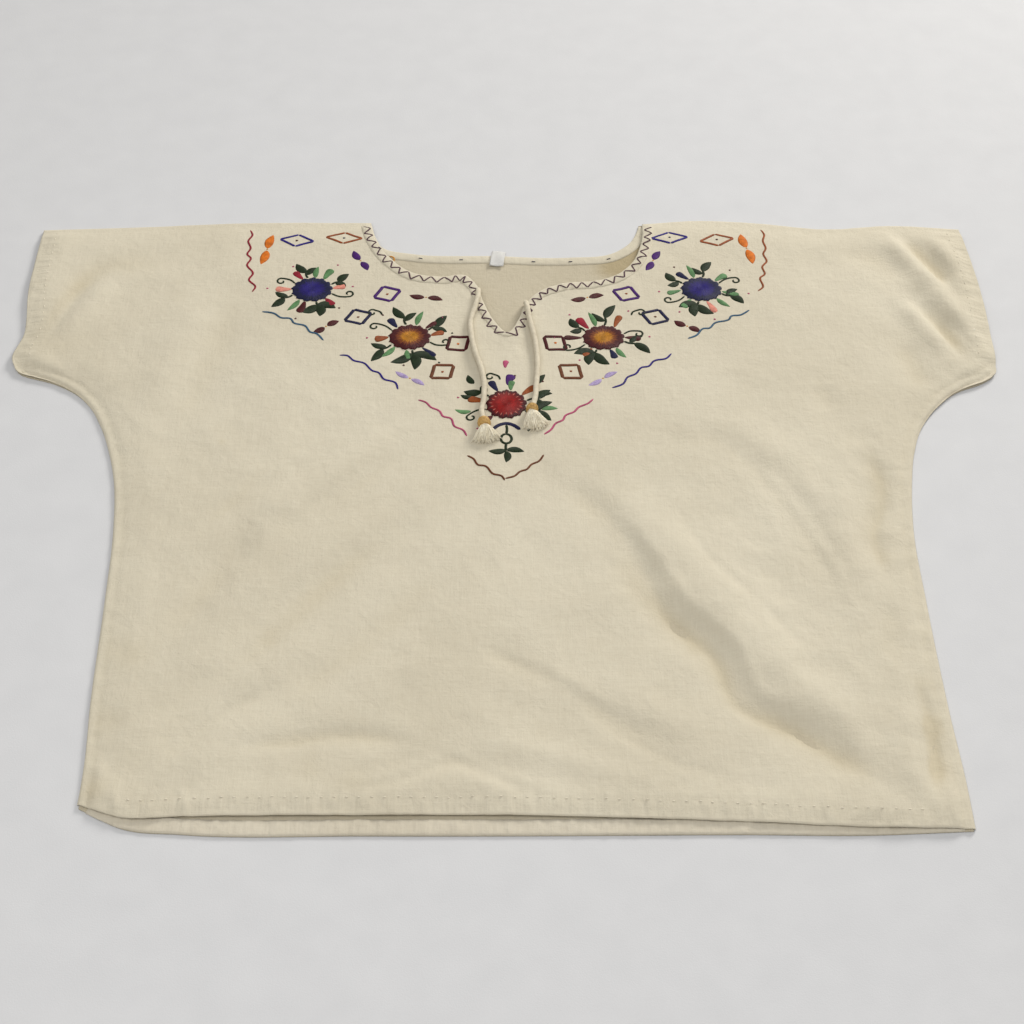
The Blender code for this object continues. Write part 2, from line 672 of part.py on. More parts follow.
def make_cap(end, start, direction):
    """The wound thread: a turned shape with one soft ridge for each group of turns."""
    radius = end.cap_radius_mm * MM
    length = end.cap_length_mm * MM
    steps = CAP_TURNS * 4
    bm = bmesh.new()
    outline = [(0.0, 0.0)]
    for step in range(steps + 1):
        part = step / steps
        swell = CAP_SWELL * math.sin(math.pi * part)
        ridge = CAP_RIDGE * abs(math.sin(math.pi * CAP_TURNS * part))
        outline.append((radius * (CAP_NECK + swell + ridge), length * part))
    outline.append((0.0, length))
    verts = [bm.verts.new((across, 0, up)) for across, up in outline]
    edges = [bm.edges.new(pair) for pair in zip(verts[:-1], verts[1:])]
    bmesh.ops.spin(bm, geom=verts + edges, axis=(0, 0, 1), cent=(0, 0, 0), steps=CAP_SIDES,
                   angle=2 * math.pi, use_merge=True)
    bmesh.ops.remove_doubles(bm, verts=bm.verts[:], dist=1e-6)
    bmesh.ops.transform(bm, matrix=facing(direction, start), verts=bm.verts[:])
    finish_mesh("thread_cap_" + end.side, bm, "gold_thread")


def make_tassel(end, middle, direction):
    """A yarn head with a tapered three-sided lock on each face that looks away from the cap."""
    head = end.head_mm * MM
    bm = bmesh.new()
    bmesh.ops.create_icosphere(bm, subdivisions=2, radius=head)
    lean = Matrix.Rotation(math.radians(end.lean_deg), 4, "Z")
    forward = lean @ direction
    sideways = Vector((-forward.y, forward.x, 0))
    for index, face in enumerate(bm.faces[:]):
        outward = face.calc_center_median().normalized()
        ahead = outward.dot(forward)
        if ahead < LOCK_BACK:
            continue
        uneven = 1 + (LOCK_UNEVEN - 1) * math.sin(index * 2.4)
        bmesh.ops.inset_individual(bm, faces=[face], thickness=LOCK_INSET * head)
        grown = bmesh.ops.extrude_discrete_faces(bm, faces=[face])["faces"][0]
        tip = forward * (ahead * end.long_mm * MM)
        tip = tip + sideways * (outward.dot(sideways) * end.wide_mm * MM)
        tip.z = outward.z * end.high_mm * MM
        centre = grown.calc_center_median()
        for vert in grown.verts:
            vert.co = tip * uneven + (vert.co - centre) * LOCK_TAPER
    bmesh.ops.translate(bm, verts=bm.verts[:], vec=middle)
    finish_mesh("tassel_" + end.side, bm, "tassel_yarn")


def make_end(end):
    """One free end of the drawstring: cord, thread cap and tassel in line."""
    points = cord_points(end)
    last = Vector(points[-1])
    direction = last - Vector(points[-2])
    direction.z = 0
    direction.normalize()
    make_cord(end, points)
    cap_from = last + direction * GAP
    make_cap(end, cap_from, direction)
    reach = end.cap_length_mm * MM + GAP + end.head_mm * MM
    middle = cap_from + direction * reach
    steps = np.array([-1.0, -0.5, 0.0, 0.5, 1.0])
    across, along = np.meshgrid(steps * end.wide_mm * MM, steps * end.long_mm * MM)
    ground = float(front_top(middle.x + across, middle.y + along).max())
    middle.z = max(middle.z, ground + GAP + end.high_mm * MM * LOCK_UNEVEN)
    make_tassel(end, middle, direction)


def main():
    clear_scene()
    make_back()
    make_front()
    make_hems()
    make_sleeve_hems()
    make_casings()
    make_label()
    for end in ENDS:
        make_end(end)


main()
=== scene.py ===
import math
import random

import bmesh
import bpy
from mathutils import Matrix, Vector, noise
from mathutils.bvhtree import BVHTree
import numpy as np


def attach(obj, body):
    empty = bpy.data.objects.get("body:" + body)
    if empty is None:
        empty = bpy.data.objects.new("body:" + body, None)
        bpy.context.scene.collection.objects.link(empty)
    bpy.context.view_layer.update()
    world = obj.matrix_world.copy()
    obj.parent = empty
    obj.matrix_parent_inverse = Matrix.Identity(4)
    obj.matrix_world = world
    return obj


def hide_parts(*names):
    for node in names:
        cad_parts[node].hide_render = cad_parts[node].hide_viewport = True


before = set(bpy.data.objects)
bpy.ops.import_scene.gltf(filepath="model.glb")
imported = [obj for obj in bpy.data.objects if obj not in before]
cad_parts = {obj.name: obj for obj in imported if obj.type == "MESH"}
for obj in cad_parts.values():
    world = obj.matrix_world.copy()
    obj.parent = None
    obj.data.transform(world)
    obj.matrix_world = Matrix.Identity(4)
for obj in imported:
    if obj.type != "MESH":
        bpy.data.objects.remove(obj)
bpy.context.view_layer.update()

# Embroidered peasant blouse, laid flat with its front up: the looks of its cloth, cord and threads.
# X runs along the shoulders, Y from the hem to the shoulders, Z up from the table, in metres.
# Columns named cm or mm are in those units.
CM = 0.01
MM = 0.001


# The room: a plain pale table, one large soft light behind the right shoulder that rakes over the
# folds, a weak one from the viewer's side, and the view from below the hem, 48 degrees down.
room = bpy.context.scene
room.view_settings.view_transform = "Standard"

lens = bpy.data.cameras.new("view")
lens.sensor_width = 36.0
lens.lens = 63.67
viewpoint = bpy.data.objects.new("view", lens)
viewpoint.location = (0.0075, -0.949, 1.02)
viewpoint.rotation_euler = (math.radians(42), 0, 0)
room.collection.objects.link(viewpoint)
room.camera = viewpoint


def soft_light(name, spot, aim, width, power, tint):
    lamp = bpy.data.lights.new(name, "AREA")
    lamp.shape = "DISK"
    lamp.size = width
    lamp.energy = power
    lamp.color = tint
    holder = bpy.data.objects.new(name, lamp)
    holder.location = spot
    holder.rotation_euler = (Vector(aim) - Vector(spot)).to_track_quat("-Z", "Y").to_euler()
    room.collection.objects.link(holder)


soft_light("window", (1.75, 2.75, 1.45), (0, 0, 0), 1.1, 103, (1.0, 0.96, 0.90))
soft_light("ceiling", (-0.3, -0.9, 2.0), (0, -0.1, 0), 2.4, 27, (1.0, 0.98, 0.96))

air = bpy.data.worlds.new("air")
air.use_nodes = True
air.node_tree.nodes["Background"].inputs["Color"].default_value = (1.0, 0.98, 0.94, 1)
air.node_tree.nodes["Background"].inputs["Strength"].default_value = 0.34
room.world = air


class Value:
    """A socket of a finish, so that sums on it read as sums and add their own nodes."""

    def __init__(self, finish, socket):
        self.finish = finish
        self.socket = socket

    def maths(self, operation, *values):
        return self.finish.node("ShaderNodeMath", {"operation": operation}, dict(enumerate(values)))

    def __add__(self, other):
        return self.maths("ADD", self, other)

    def __sub__(self, other):
        return self.maths("SUBTRACT", self, other)

    def __rsub__(self, other):
        return self.maths("SUBTRACT", other, self)

    def __mul__(self, other):
        return self.maths("MULTIPLY", self, other)

    def wave(self):
        return self.maths("SINE", self)

    def size(self):
        return self.maths("ABSOLUTE", self)

    def between(self, low, high):
        """0 below low, 1 above high."""
        return self.finish.node("ShaderNodeMapRange", {"interpolation_type": "SMOOTHSTEP"},
                                {"Value": self, "From Min": low, "From Max": high})


class Finish:
    """A material, built up node by node on its Principled shader."""

    def __init__(self, name, roughness, sheen=0.0, sheen_tint=(1, 1, 1, 1)):
        self.material = bpy.data.materials.new(name)
        self.material.use_nodes = True
        self.nodes = self.material.node_tree
        self.shader = self.nodes.nodes["Principled BSDF"]
        self.shader.inputs["Roughness"].default_value = roughness
        self.shader.inputs["Sheen Weight"].default_value = sheen
        self.shader.inputs["Sheen Roughness"].default_value = 0.5
        self.shader.inputs["Sheen Tint"].default_value = sheen_tint

    def node(self, kind, settings=None, inputs=None, output=0):
        made = self.nodes.nodes.new(kind)
        for key, setting in (settings or {}).items():
            setattr(made, key, setting)
        for key, value in (inputs or {}).items():
            self.feed(made.inputs[key], value)
        return Value(self, made.outputs[output])

    def feed(self, socket, value):
        if isinstance(value, Value):
            self.nodes.links.new(value.socket, socket)
        else:
            socket.default_value = value

    def place(self):
        return self.node("ShaderNodeTexCoord", output="Object")

    def first_two(self, vector):
        """The first two parts of a vector."""
        parts = self.node("ShaderNodeSeparateXYZ", None, {"Vector": vector})
        return parts, Value(self, parts.socket.node.outputs["Y"])

    def along_and_round(self):
        """How far along a thread and round it, from the mesh's own map."""
        return self.first_two(self.node("ShaderNodeUVMap", {"uv_map": "along"}))

    def noise(self, scale, detail=2.0, stretch=(1, 1, 1), at=None):
        spot = self.node("ShaderNodeMapping", None,
                         {"Vector": at or self.place(), "Scale": stretch})
        return self.node("ShaderNodeTexNoise", None,
                         {"Vector": spot, "Scale": scale, "Detail": detail})

    def mix(self, share, first, second, blend="MIX"):
        return self.node("ShaderNodeMix", {"data_type": "RGBA", "blend_type": blend},
                         {0: share, 6: first, 7: second}, output=2)

    def paint(self, colour):
        self.feed(self.shader.inputs["Base Color"], colour)

    def raise_up(self, height, distance, strength=1.0):
        bump = self.node("ShaderNodeBump", None,
                         {"Height": height, "Distance": distance, "Strength": strength})
        self.feed(self.shader.inputs["Normal"], bump)


table_top = Finish("pale_table", 0.85)
table_top.paint(table_top.mix(table_top.noise(35, 4), (0.60, 0.61, 0.63, 1), (0.66, 0.67, 0.69, 1)))
table_top.raise_up(table_top.noise(900, 3), 0.3 * MM, 0.3)


def make_piece(name, bm, finish):
    """Turns a bmesh into an object with one finish."""
    mesh = bpy.data.meshes.new(name)
    bm.to_mesh(mesh)
    bm.free()
    mesh.materials.append(finish.material)
    mesh.shade_smooth()
    piece = bpy.data.objects.new(name, mesh)
    room.collection.objects.link(piece)
    return piece


bm = bmesh.new()
bmesh.ops.create_grid(bm, x_segments=8, y_segments=8, size=3.5)
bmesh.ops.translate(bm, verts=bm.verts[:], vec=(0, 0, -0.3 * MM))
make_piece("table_top", bm, table_top)


# The cut of the cloth. The front and the back are one cotton cloth folded along the shoulders,
# with the sleeves cut in one with the body, so both layers share their sides and shoulders.
# Sides: y, the left edge's x and the right edge's x, all in cm.
SIDES = [
    (-31.3, -28.0, 31.1), (-28.0, -28.0, 31.1), (-22.0, -28.4, 30.9), (-12.0, -28.8, 30.8),
    (-5.0, -29.2, 30.9), (0.0, -29.9, 31.5), (3.0, -30.7, 32.1), (6.0, -31.8, 33.2),
    (8.5, -33.2, 35.0), (10.2, -34.9, 36.9), (11.2, -36.6, 38.9), (12.2, -39.2, 40.0),
    (13.2, -39.9, 40.2), (17.0, -39.7, 40.4), (23.0, -40.3, 40.5), (27.0, -40.4, 40.3),
    (31.3, -40.4, 40.0),
]
# Lower edges: x, the front's y and the back's y, in cm
HEMS = [
    (-28.0, -29.2, -29.5), (-25.0, -30.3, -31.0), (-21.0, -30.2, -31.45), (-9.0, -30.1, -31.55),
    (0.0, -30.1, -31.55), (8.0, -30.3, -31.5), (16.0, -30.6, -31.45), (24.0, -31.0, -31.5),
    (31.1, -31.1, -31.2),
]
# The fold along the shoulders: x and y in cm
SHOULDERS = [
    (-40.4, 30.2), (-32.0, 30.6), (-22.0, 31.2), (-12.0, 31.2), (0.0, 31.2), (12.0, 31.0),
    (17.0, 31.5), (22.0, 31.2), (28.5, 30.3), (34.0, 30.8), (40.0, 30.3),
]
# Neck edges from the left shoulder to the right: x and y in cm
FRONT_NECK = [
    (-11.9, 32.2), (-11.1, 28.5), (-9.9, 26.1), (-7.6, 23.9), (-5.1, 23.5), (-3.4, 23.7),
    (-2.3, 22.5), (-1.7, 20.4), (-0.8, 18.0), (0.4, 16.4), (1.3, 18.0), (1.8, 19.8), (2.9, 21.5),
    (5.0, 22.6), (8.0, 23.0), (9.9, 23.9), (11.1, 25.3), (11.9, 27.5), (12.3, 32.2),
]
BACK_NECK = [
    (-12.0, 32.2), (-11.6, 29.6), (-10.4, 27.7), (-8.0, 27.0), (-1.0, 26.7), (6.0, 26.5),
    (9.4, 27.0), (11.0, 28.4), (11.7, 29.9), (12.1, 32.2),
]
UNDERARM_TIP = 12.2 * CM
HEM_DEPTH = 12 * MM
MOUTH_DEPTH = 13 * MM
CASING_DEPTH = 10 * MM


def curve_through(stations, values, at):
    """A smooth curve through the rows of a table, read at any places."""
    stations = np.asarray(stations, float)
    values = np.asarray(values, float)
    steps = np.diff(stations)
    slopes = np.diff(values) / steps
    ends = np.concatenate([slopes[:1], slopes, slopes[-1:]])
    weights = np.concatenate([steps[:1], steps, steps[-1:]])
    tangents = (ends[:-1] * weights[1:] + ends[1:] * weights[:-1]) / (weights[:-1] + weights[1:])
    at = np.clip(at, stations[0], stations[-1])
    row = np.clip(np.searchsorted(stations, at, side="right") - 1, 0, len(steps) - 1)
    part = (at - stations[row]) / steps[row]
    rest = 1 - part
    start = values[row] * (1 + 2 * part) + tangents[row] * steps[row] * part
    stop = values[row + 1] * (3 - 2 * part) - tangents[row + 1] * steps[row] * rest
    return start * rest ** 2 + stop * part ** 2


def lengths_along(points):
    runs = np.linalg.norm(np.diff(np.asarray(points, float), axis=0), axis=1)
    return np.concatenate([[0], np.cumsum(runs)])


def directions(line):
    """The unit direction of a line at each of its points."""
    runs = np.gradient(line, axis=0)
    return runs / np.linalg.norm(runs, axis=1)[:, None]


def read_at(places, stations, table):
    """The rows of a table, read between its stations."""
    return np.stack([np.interp(places, stations, axis) for axis in table.T], axis=-1)


def smooth_route(points, step):
    """Evenly spaced points along a smooth curve through a route's own points."""
    along = lengths_along(points)
    count = max(2, int(round(along[-1] / step)) + 1)
    places = np.linspace(0, along[-1], count)
    axes = np.asarray(points, float).T
    return np.stack([curve_through(along, axis, places) for axis in axes], axis=1)


def column(table, index):
    return np.array([row[index] for row in table]) * CM


def side_x(y, side):
    return curve_through(column(SIDES, 0), column(SIDES, {"left": 1, "right": 2}[side]), y)


def hem_y(x, layer):
    return curve_through(column(HEMS, 0), column(HEMS, {"front": 1, "back": 2}[layer]), x)


def shoulder_y(x):
    return curve_through(column(SHOULDERS, 0), column(SHOULDERS, 1), x)


SIDE_LOW = SIDES[0][0] * CM
SIDE_HIGH = SIDES[-1][0] * CM


def lay_out(across, up, layer):
    """Where a point of the cut lies: across from the left side, up from the hem, each 0 to 1."""
    y = SIDE_LOW + (SIDE_HIGH - SIDE_LOW) * up
    left = side_x(y, "left")
    right = side_x(y, "right")
    x = left + (right - left) * across
    low = hem_y(x, layer) - SIDE_LOW
    high = shoulder_y(x) - SIDE_HIGH
    return x, y + low * (1 - up) ** 3 + high * up ** 3


def distance_to(x, y, line):
    """Distance of each point to a line of points, and how far along it that falls, in metres."""
    along = lengths_along(line)
    best = np.full(np.shape(x), 1e9)
    place = np.zeros(np.shape(x))
    for index in range(len(line) - 1):
        (ax, ay), (bx, by) = line[index], line[index + 1]
        dx, dy = bx - ax, by - ay
        part = np.clip(((x - ax) * dx + (y - ay) * dy) / (dx * dx + dy * dy), 0, 1)
        far = np.hypot(x - ax - part * dx, y - ay - part * dy)
        nearer = far < best
        best = np.where(nearer, far, best)
        place = np.where(nearer, along[index] + part * (along[index + 1] - along[index]), place)
    return best, place


def distance_to_nearest(x, y, lines):
    return np.min([distance_to(x, y, line)[0] for line in lines], axis=0)


def ease(value):
    """0 below 0, 1 above 1, and a soft step between."""
    value = np.clip(value, 0, 1)
    return value * value * (3 - 2 * value)


def side_line(side, low, high, count):
    heights = np.linspace(low, high, count)
    return np.stack([side_x(heights, side), heights], axis=1)


def hem_line(layer):
    stations = np.linspace(SIDES[0][1] * CM, SIDES[0][2] * CM, 40)
    return np.stack([stations, hem_y(stations, layer)], axis=1)


left_seam = side_line("left", SIDE_LOW, UNDERARM_TIP, 48)
right_seam = side_line("right", SIDE_LOW, UNDERARM_TIP, 48)
left_mouth = side_line("left", UNDERARM_TIP, SIDE_HIGH, 16)
right_mouth = side_line("right", UNDERARM_TIP, SIDE_HIGH, 16)
shoulder_stations = np.linspace(SHOULDERS[0][0] * CM, SHOULDERS[-1][0] * CM, 40)
shoulder_fold = np.stack([shoulder_stations, shoulder_y(shoulder_stations)], axis=1)
front_hem = hem_line("front")
back_hem = hem_line("back")
front_neck = smooth_route(np.array(FRONT_NECK) * CM, 2.5 * MM)
back_neck = smooth_route(np.array(BACK_NECK) * CM, 4 * MM)


# How the front lies: large folds, fine creases, puckers where stitching has drawn the cloth in,
# and closed edges that come down to the table. All of it is soft cotton, creased by hand.
# Folds: height in mm (a trough is negative), width in cm, and the route's points in cm
FOLDS = [
    (-1.9, 1.1, [(-6.6, 4.3), (-13.1, -2.3), (-18.0, -7.9)]),
    (1.8, 1.9, [(-8.5, 5.7), (-15.5, -0.2), (-20.6, -6.3)]),
    (-1.7, 1.2, [(-18.3, -4.3), (-21.0, -10.4), (-24.1, -16.4)]),
    (2.6, 2.3, [(-8.1, -1.8), (-16.1, -10.6), (-24.7, -22.2)]),
    (-1.8, 1.2, [(-9.4, -6.3), (-15.1, -14.1), (-21.5, -20.3), (-25.7, -22.8)]),
    (-2.4, 1.2, [(-16.6, -19.6), (-20.3, -22.3), (-24.1, -26.9)]),
    (1.7, 1.7, [(-14.9, -20.9), (-19.4, -24.4), (-23.2, -28.3)]),
    (-1.6, 1.9, [(-22.7, 21.8), (-23.9, 14.4), (-26.0, 4.1)]),
    (1.8, 2.3, [(-25.3, 22.5), (-26.5, 14.4), (-28.0, 6.3)]),
    (-1.3, 1.5, [(-37.5, 20.5), (-34.6, 24.7), (-29.1, 25.5)]),
    (-1.5, 0.8, [(-10.3, -27.9), (-3.4, -25.7), (3.1, -28.3)]),
    (1.4, 1.5, [(-9.3, -29.1), (-3.4, -27.3), (2.6, -29.5)]),
    (-1.4, 0.9, [(-18.6, -24.9), (-11.6, -24.0), (-5.5, -24.4)]),
    (-1.6, 0.9, [(-1.7, -15.7), (1.3, -17.7), (4.4, -19.4)]),
    (-1.6, 0.9, [(4.9, -20.5), (8.1, -22.8), (11.3, -24.9)]),
    (1.5, 1.5, [(6.2, -19.2), (10.2, -22.0), (14.8, -24.7)]),
    (-2.7, 1.4, [(4.1, -0.2), (7.5, -3.5), (10.2, -8.3), (11.1, -12.1)]),
    (-2.2, 1.3, [(11.1, -12.1), (15.5, -17.0), (15.9, -20.9)]),
    (-3.4, 1.4, [(15.9, -20.9), (19.7, -23.1), (26.0, -28.1)]),
    (4.2, 2.5, [(6.7, 0.0), (13.8, -9.7), (20.1, -19.2), (25.8, -26.1)]),
    (-1.6, 1.5, [(12.0, 5.4), (17.0, 3.9), (20.9, -0.7), (25.2, -12.1)]),
    (2.0, 2.0, [(15.6, 5.7), (20.8, 3.0), (24.6, -4.3)]),
    (-2.4, 1.2, [(28.1, 4.1), (28.7, -0.2), (27.2, -6.3), (28.0, -9.7)]),
    (1.9, 1.6, [(26.5, 1.9), (25.9, -6.3), (26.6, -12.1)]),
    (-1.4, 1.0, [(27.7, -12.1), (27.7, -15.7), (27.0, -18.4)]),
    (-3.4, 0.9, [(29.2, -20.9), (29.1, -25.1), (29.0, -29.1)]),
    (2.6, 1.4, [(28.1, -20.9), (27.7, -25.1), (27.3, -29.5)]),
    (-3.2, 1.1, [(35.1, 28.7), (37.1, 24.7), (38.5, 21.8)]),
    (2.2, 1.2, [(36.9, 29.0), (38.9, 25.5), (39.5, 22.5)]),
    (-3.8, 1.3, [(35.1, 20.5), (36.9, 17.1), (38.3, 13.4)]),
    (3.2, 1.7, [(34.5, 24.7), (36.8, 20.5), (39.0, 16.2)]),
    (-2.1, 1.1, [(32.6, 15.6), (33.3, 12.6), (33.9, 9.5)]),
    (-1.7, 1.4, [(29.2, 27.1), (32.4, 25.5), (34.8, 22.5)]),
    (-1.3, 1.0, [(25.7, 10.3), (25.8, 7.2)]),
    (-1.2, 0.8, [(1.8, 18.8), (2.2, 13.5)]),
    (-1.2, 0.8, [(-3.4, 17.4), (-3.1, 10.4), (-2.9, 4.6)]),
]
# Softer, broader ones that slant across the left half and the foot
SOFT_FOLDS = [
    (1.9, 1.3, [(-7.5, 4.9), (-14.3, -1.2), (-20.2, -8.6)]),
    (-1.9, 1.1, [(-9.8, 5.4), (-16.4, -0.1), (-22.6, -5.0)]),
    (-2.0, 1.4, [(-7.2, -4.5), (-15.8, -12.4), (-22.8, -18.1)]),
    (1.8, 1.2, [(-12.0, -14.5), (-18.7, -20.6), (-23.4, -24.9)]),
    (-1.5, 1.2, [(-3.3, -8.2), (-9.6, -15.9), (-16.2, -22.4)]),
    (1.4, 1.4, [(0.2, -9.4), (-5.8, -17.7), (-11.5, -23.6)]),
    (1.3, 1.0, [(-1.9, -23.8), (4.4, -25.9), (11.2, -28.0)]),
    (-1.6, 1.2, [(6.3, -5.2), (12.4, -14.7), (18.3, -22.6)]),
]
SOFT_FOLDS += [
    (3.4, 0.9, [(33.2, 29.2), (35.0, 25.4), (36.9, 21.4)]),
    (3.0, 0.9, [(37.2, 28.2), (38.3, 24.6), (39.0, 20.6)]),
    (3.6, 1.0, [(33.3, 20.6), (35.2, 16.8), (36.8, 13.2)]),
    (3.0, 0.9, [(36.9, 20.4), (38.2, 16.8), (39.0, 13.9)]),
    (-2.0, 0.9, [(-34.8, 24.6), (-36.9, 20.4), (-38.2, 16.2)]),
    (1.8, 1.1, [(-33.2, 23.2), (-35.1, 19.2), (-36.6, 15.4)]),
]
# Sharp creases that folding and wear have pressed in
CREASES = [
    (-0.9, 0.42, [(-18.6, -24.7), (-14.2, -24.4), (-10.8, -23.8), (-5.8, -24.5)]),
    (0.8, 0.45, [(-10.2, -27.6), (-6.4, -26.6), (-3.2, -25.4), (-0.5, -26.7), (3.4, -28.5)]),
    (-0.9, 0.42, [(-9.8, -28.2), (-6.2, -27.3), (-3.1, -26.1), (0.2, -27.6), (3.2, -29.0)]),
    (0.9, 0.45, [(-24.3, -27.2), (-20.8, -22.8), (-16.9, -19.4)]),
    (-0.8, 0.42, [(-22.4, -26.2), (-18.8, -22.1), (-15.3, -19.8)]),
    (0.9, 0.42, [(-1.9, -15.4), (1.5, -17.3), (4.6, -19.1), (8.3, -22.3)]),
    (-1.1, 0.45, [(10.7, -9.2), (11.6, -13.0), (15.1, -17.4), (16.2, -21.3), (20.2, -23.7),
                  (25.4, -27.8)]),
    (1.1, 0.50, [(7.8, -2.3), (11.2, -7.4), (13.1, -11.7), (16.8, -16.4), (17.9, -20.3),
                 (21.9, -23.0)]),
    (-0.8, 0.42, [(13.2, -3.4), (15.1, -7.8), (18.8, -12.6), (22.4, -18.2)]),
    (0.8, 0.42, [(19.2, 2.4), (21.8, -2.2), (24.3, -8.6), (25.6, -13.1)]),
    (-1.0, 0.42, [(28.4, 3.2), (29.1, -1.5), (27.8, -6.1), (28.3, -10.6)]),
    (-1.3, 0.42, [(28.9, -19.2), (29.4, -23.3), (29.0, -28.4)]),
    (-0.8, 0.40, [(-12.8, 6.2), (-17.9, 1.2), (-22.1, -4.9)]),
    (0.7, 0.40, [(-7.1, 4.0), (-12.2, -1.3), (-16.4, -6.8)]),
    (-0.8, 0.40, [(6.4, -22.6), (11.2, -25.9), (17.0, -27.9)]),
    (-1.1, 0.42, [(34.7, 28.9), (36.6, 25.2), (38.1, 21.2)]),
    (-1.1, 0.42, [(34.5, 20.3), (36.3, 16.9), (38.0, 13.3)]),
]
FOLD_GAIN = 1.25             # folds are this much higher than their tables say
FOLD_END = 0.25              # the share of a fold's height that is left at its very end
LOFT = 2.6 * MM              # how high the front lies over the back away from its edges
LOFT_REACH = 30 * MM
SEAM_REACH = 14 * MM         # how far the hem strips stop short of the side seams
SOFT_FLOOR = 0.7 * MM        # how softly a trough lands on the back
LAYER = 1.1 * MM             # wall of the solids' front and back
CLEAR = 0.3 * MM             # between two solids
STRIP = 1.0 * MM             # wall of the solids' hem strips
SPARE = 0.35 * MM
STRIP_MARGIN = 8 * MM        # how far past a strip the front keeps room for it
CLOTH = 0.5 * MM             # the cloth as it is seen
CALM_EDGE = 25 * MM          # folds die away over these distances from the hem and the neck,
CALM_MOUTH = 12 * MM         # the mouths
CALM_CLOSED = 16 * MM        # and the closed edges
HEM_SEWN = 12.5 * MM         # how far in from its edge each row of stitching runs
MOUTH_SEWN = 13.5 * MM
SEAM_SEWN = 7 * MM
SEWN_GROOVE = 1.6 * MM       # how wide the groove along a row of stitching is
SIDE_ROLL = 2.6 * MM         # how far the cloth rounds over at its closed edges
EDGE_ROLL = 1.3 * MM         # and at its open ones


def fold_heights(x, y, folds, taper, step):
    """Ridges and troughs, each rising and dying away along its route."""
    total = np.zeros(np.shape(x))
    for height, width, route in folds:
        line = smooth_route(np.array(route) * CM, step)
        away, along = distance_to(x, y, line)
        along = along / lengths_along(line)[-1]
        swell = ease(along / taper) * ease((1 - along) / taper)
        section = np.exp(-(away / (width * CM)) ** 2)
        total = total + FOLD_GAIN * height * MM * section * (FOLD_END + (1 - FOLD_END) * swell)
    return total


def lift_at(reach, amount, full, fade):
    return amount * (1 - ease((reach - full) / fade))


def puckers(place, away, spacing, depth, line_at, reach, seed):
    """Small ridges that cross a stitched edge, unevenly spaced, strongest on the stitching."""
    dice = random.Random(seed)
    total = np.zeros(np.shape(place))
    spot = 0.0
    last = float(np.max(place))
    while spot < last:
        spot += spacing * dice.uniform(0.5, 1.5)
        width = spacing * dice.uniform(0.16, 0.32)
        slant = dice.uniform(-0.5, 0.5)
        high = depth * dice.uniform(0.3, 1.0)
        far = reach * dice.uniform(0.5, 1.2)
        off = (place - spot - slant * (away - line_at)) / width
        fade = np.exp(-((away - line_at) / far) ** 2)
        total = total + high * np.exp(-off ** 2) * fade
    return total


def crumple(x, y, wave, seed):
    """Crumpled cloth: noise with creased tops, about -1 to 1, with the given wavelength."""
    spots = zip(np.ravel(x) / wave, np.ravel(y) / wave)
    rough = [noise.noise(Vector((a, b, seed))) for a, b in spots]
    rough = np.reshape(rough, np.shape(x))
    return 1 - 4 * np.sqrt(rough * rough + 0.004)


def front_reaches(x, y):
    """How far each point is from the closed edges, the mouths, the hem and the neck."""
    closed = distance_to_nearest(x, y, (left_seam, right_seam, shoulder_fold))
    mouth = distance_to_nearest(x, y, (left_mouth, right_mouth))
    return closed, mouth, distance_to(x, y, front_hem)[0], distance_to(x, y, front_neck)[0]


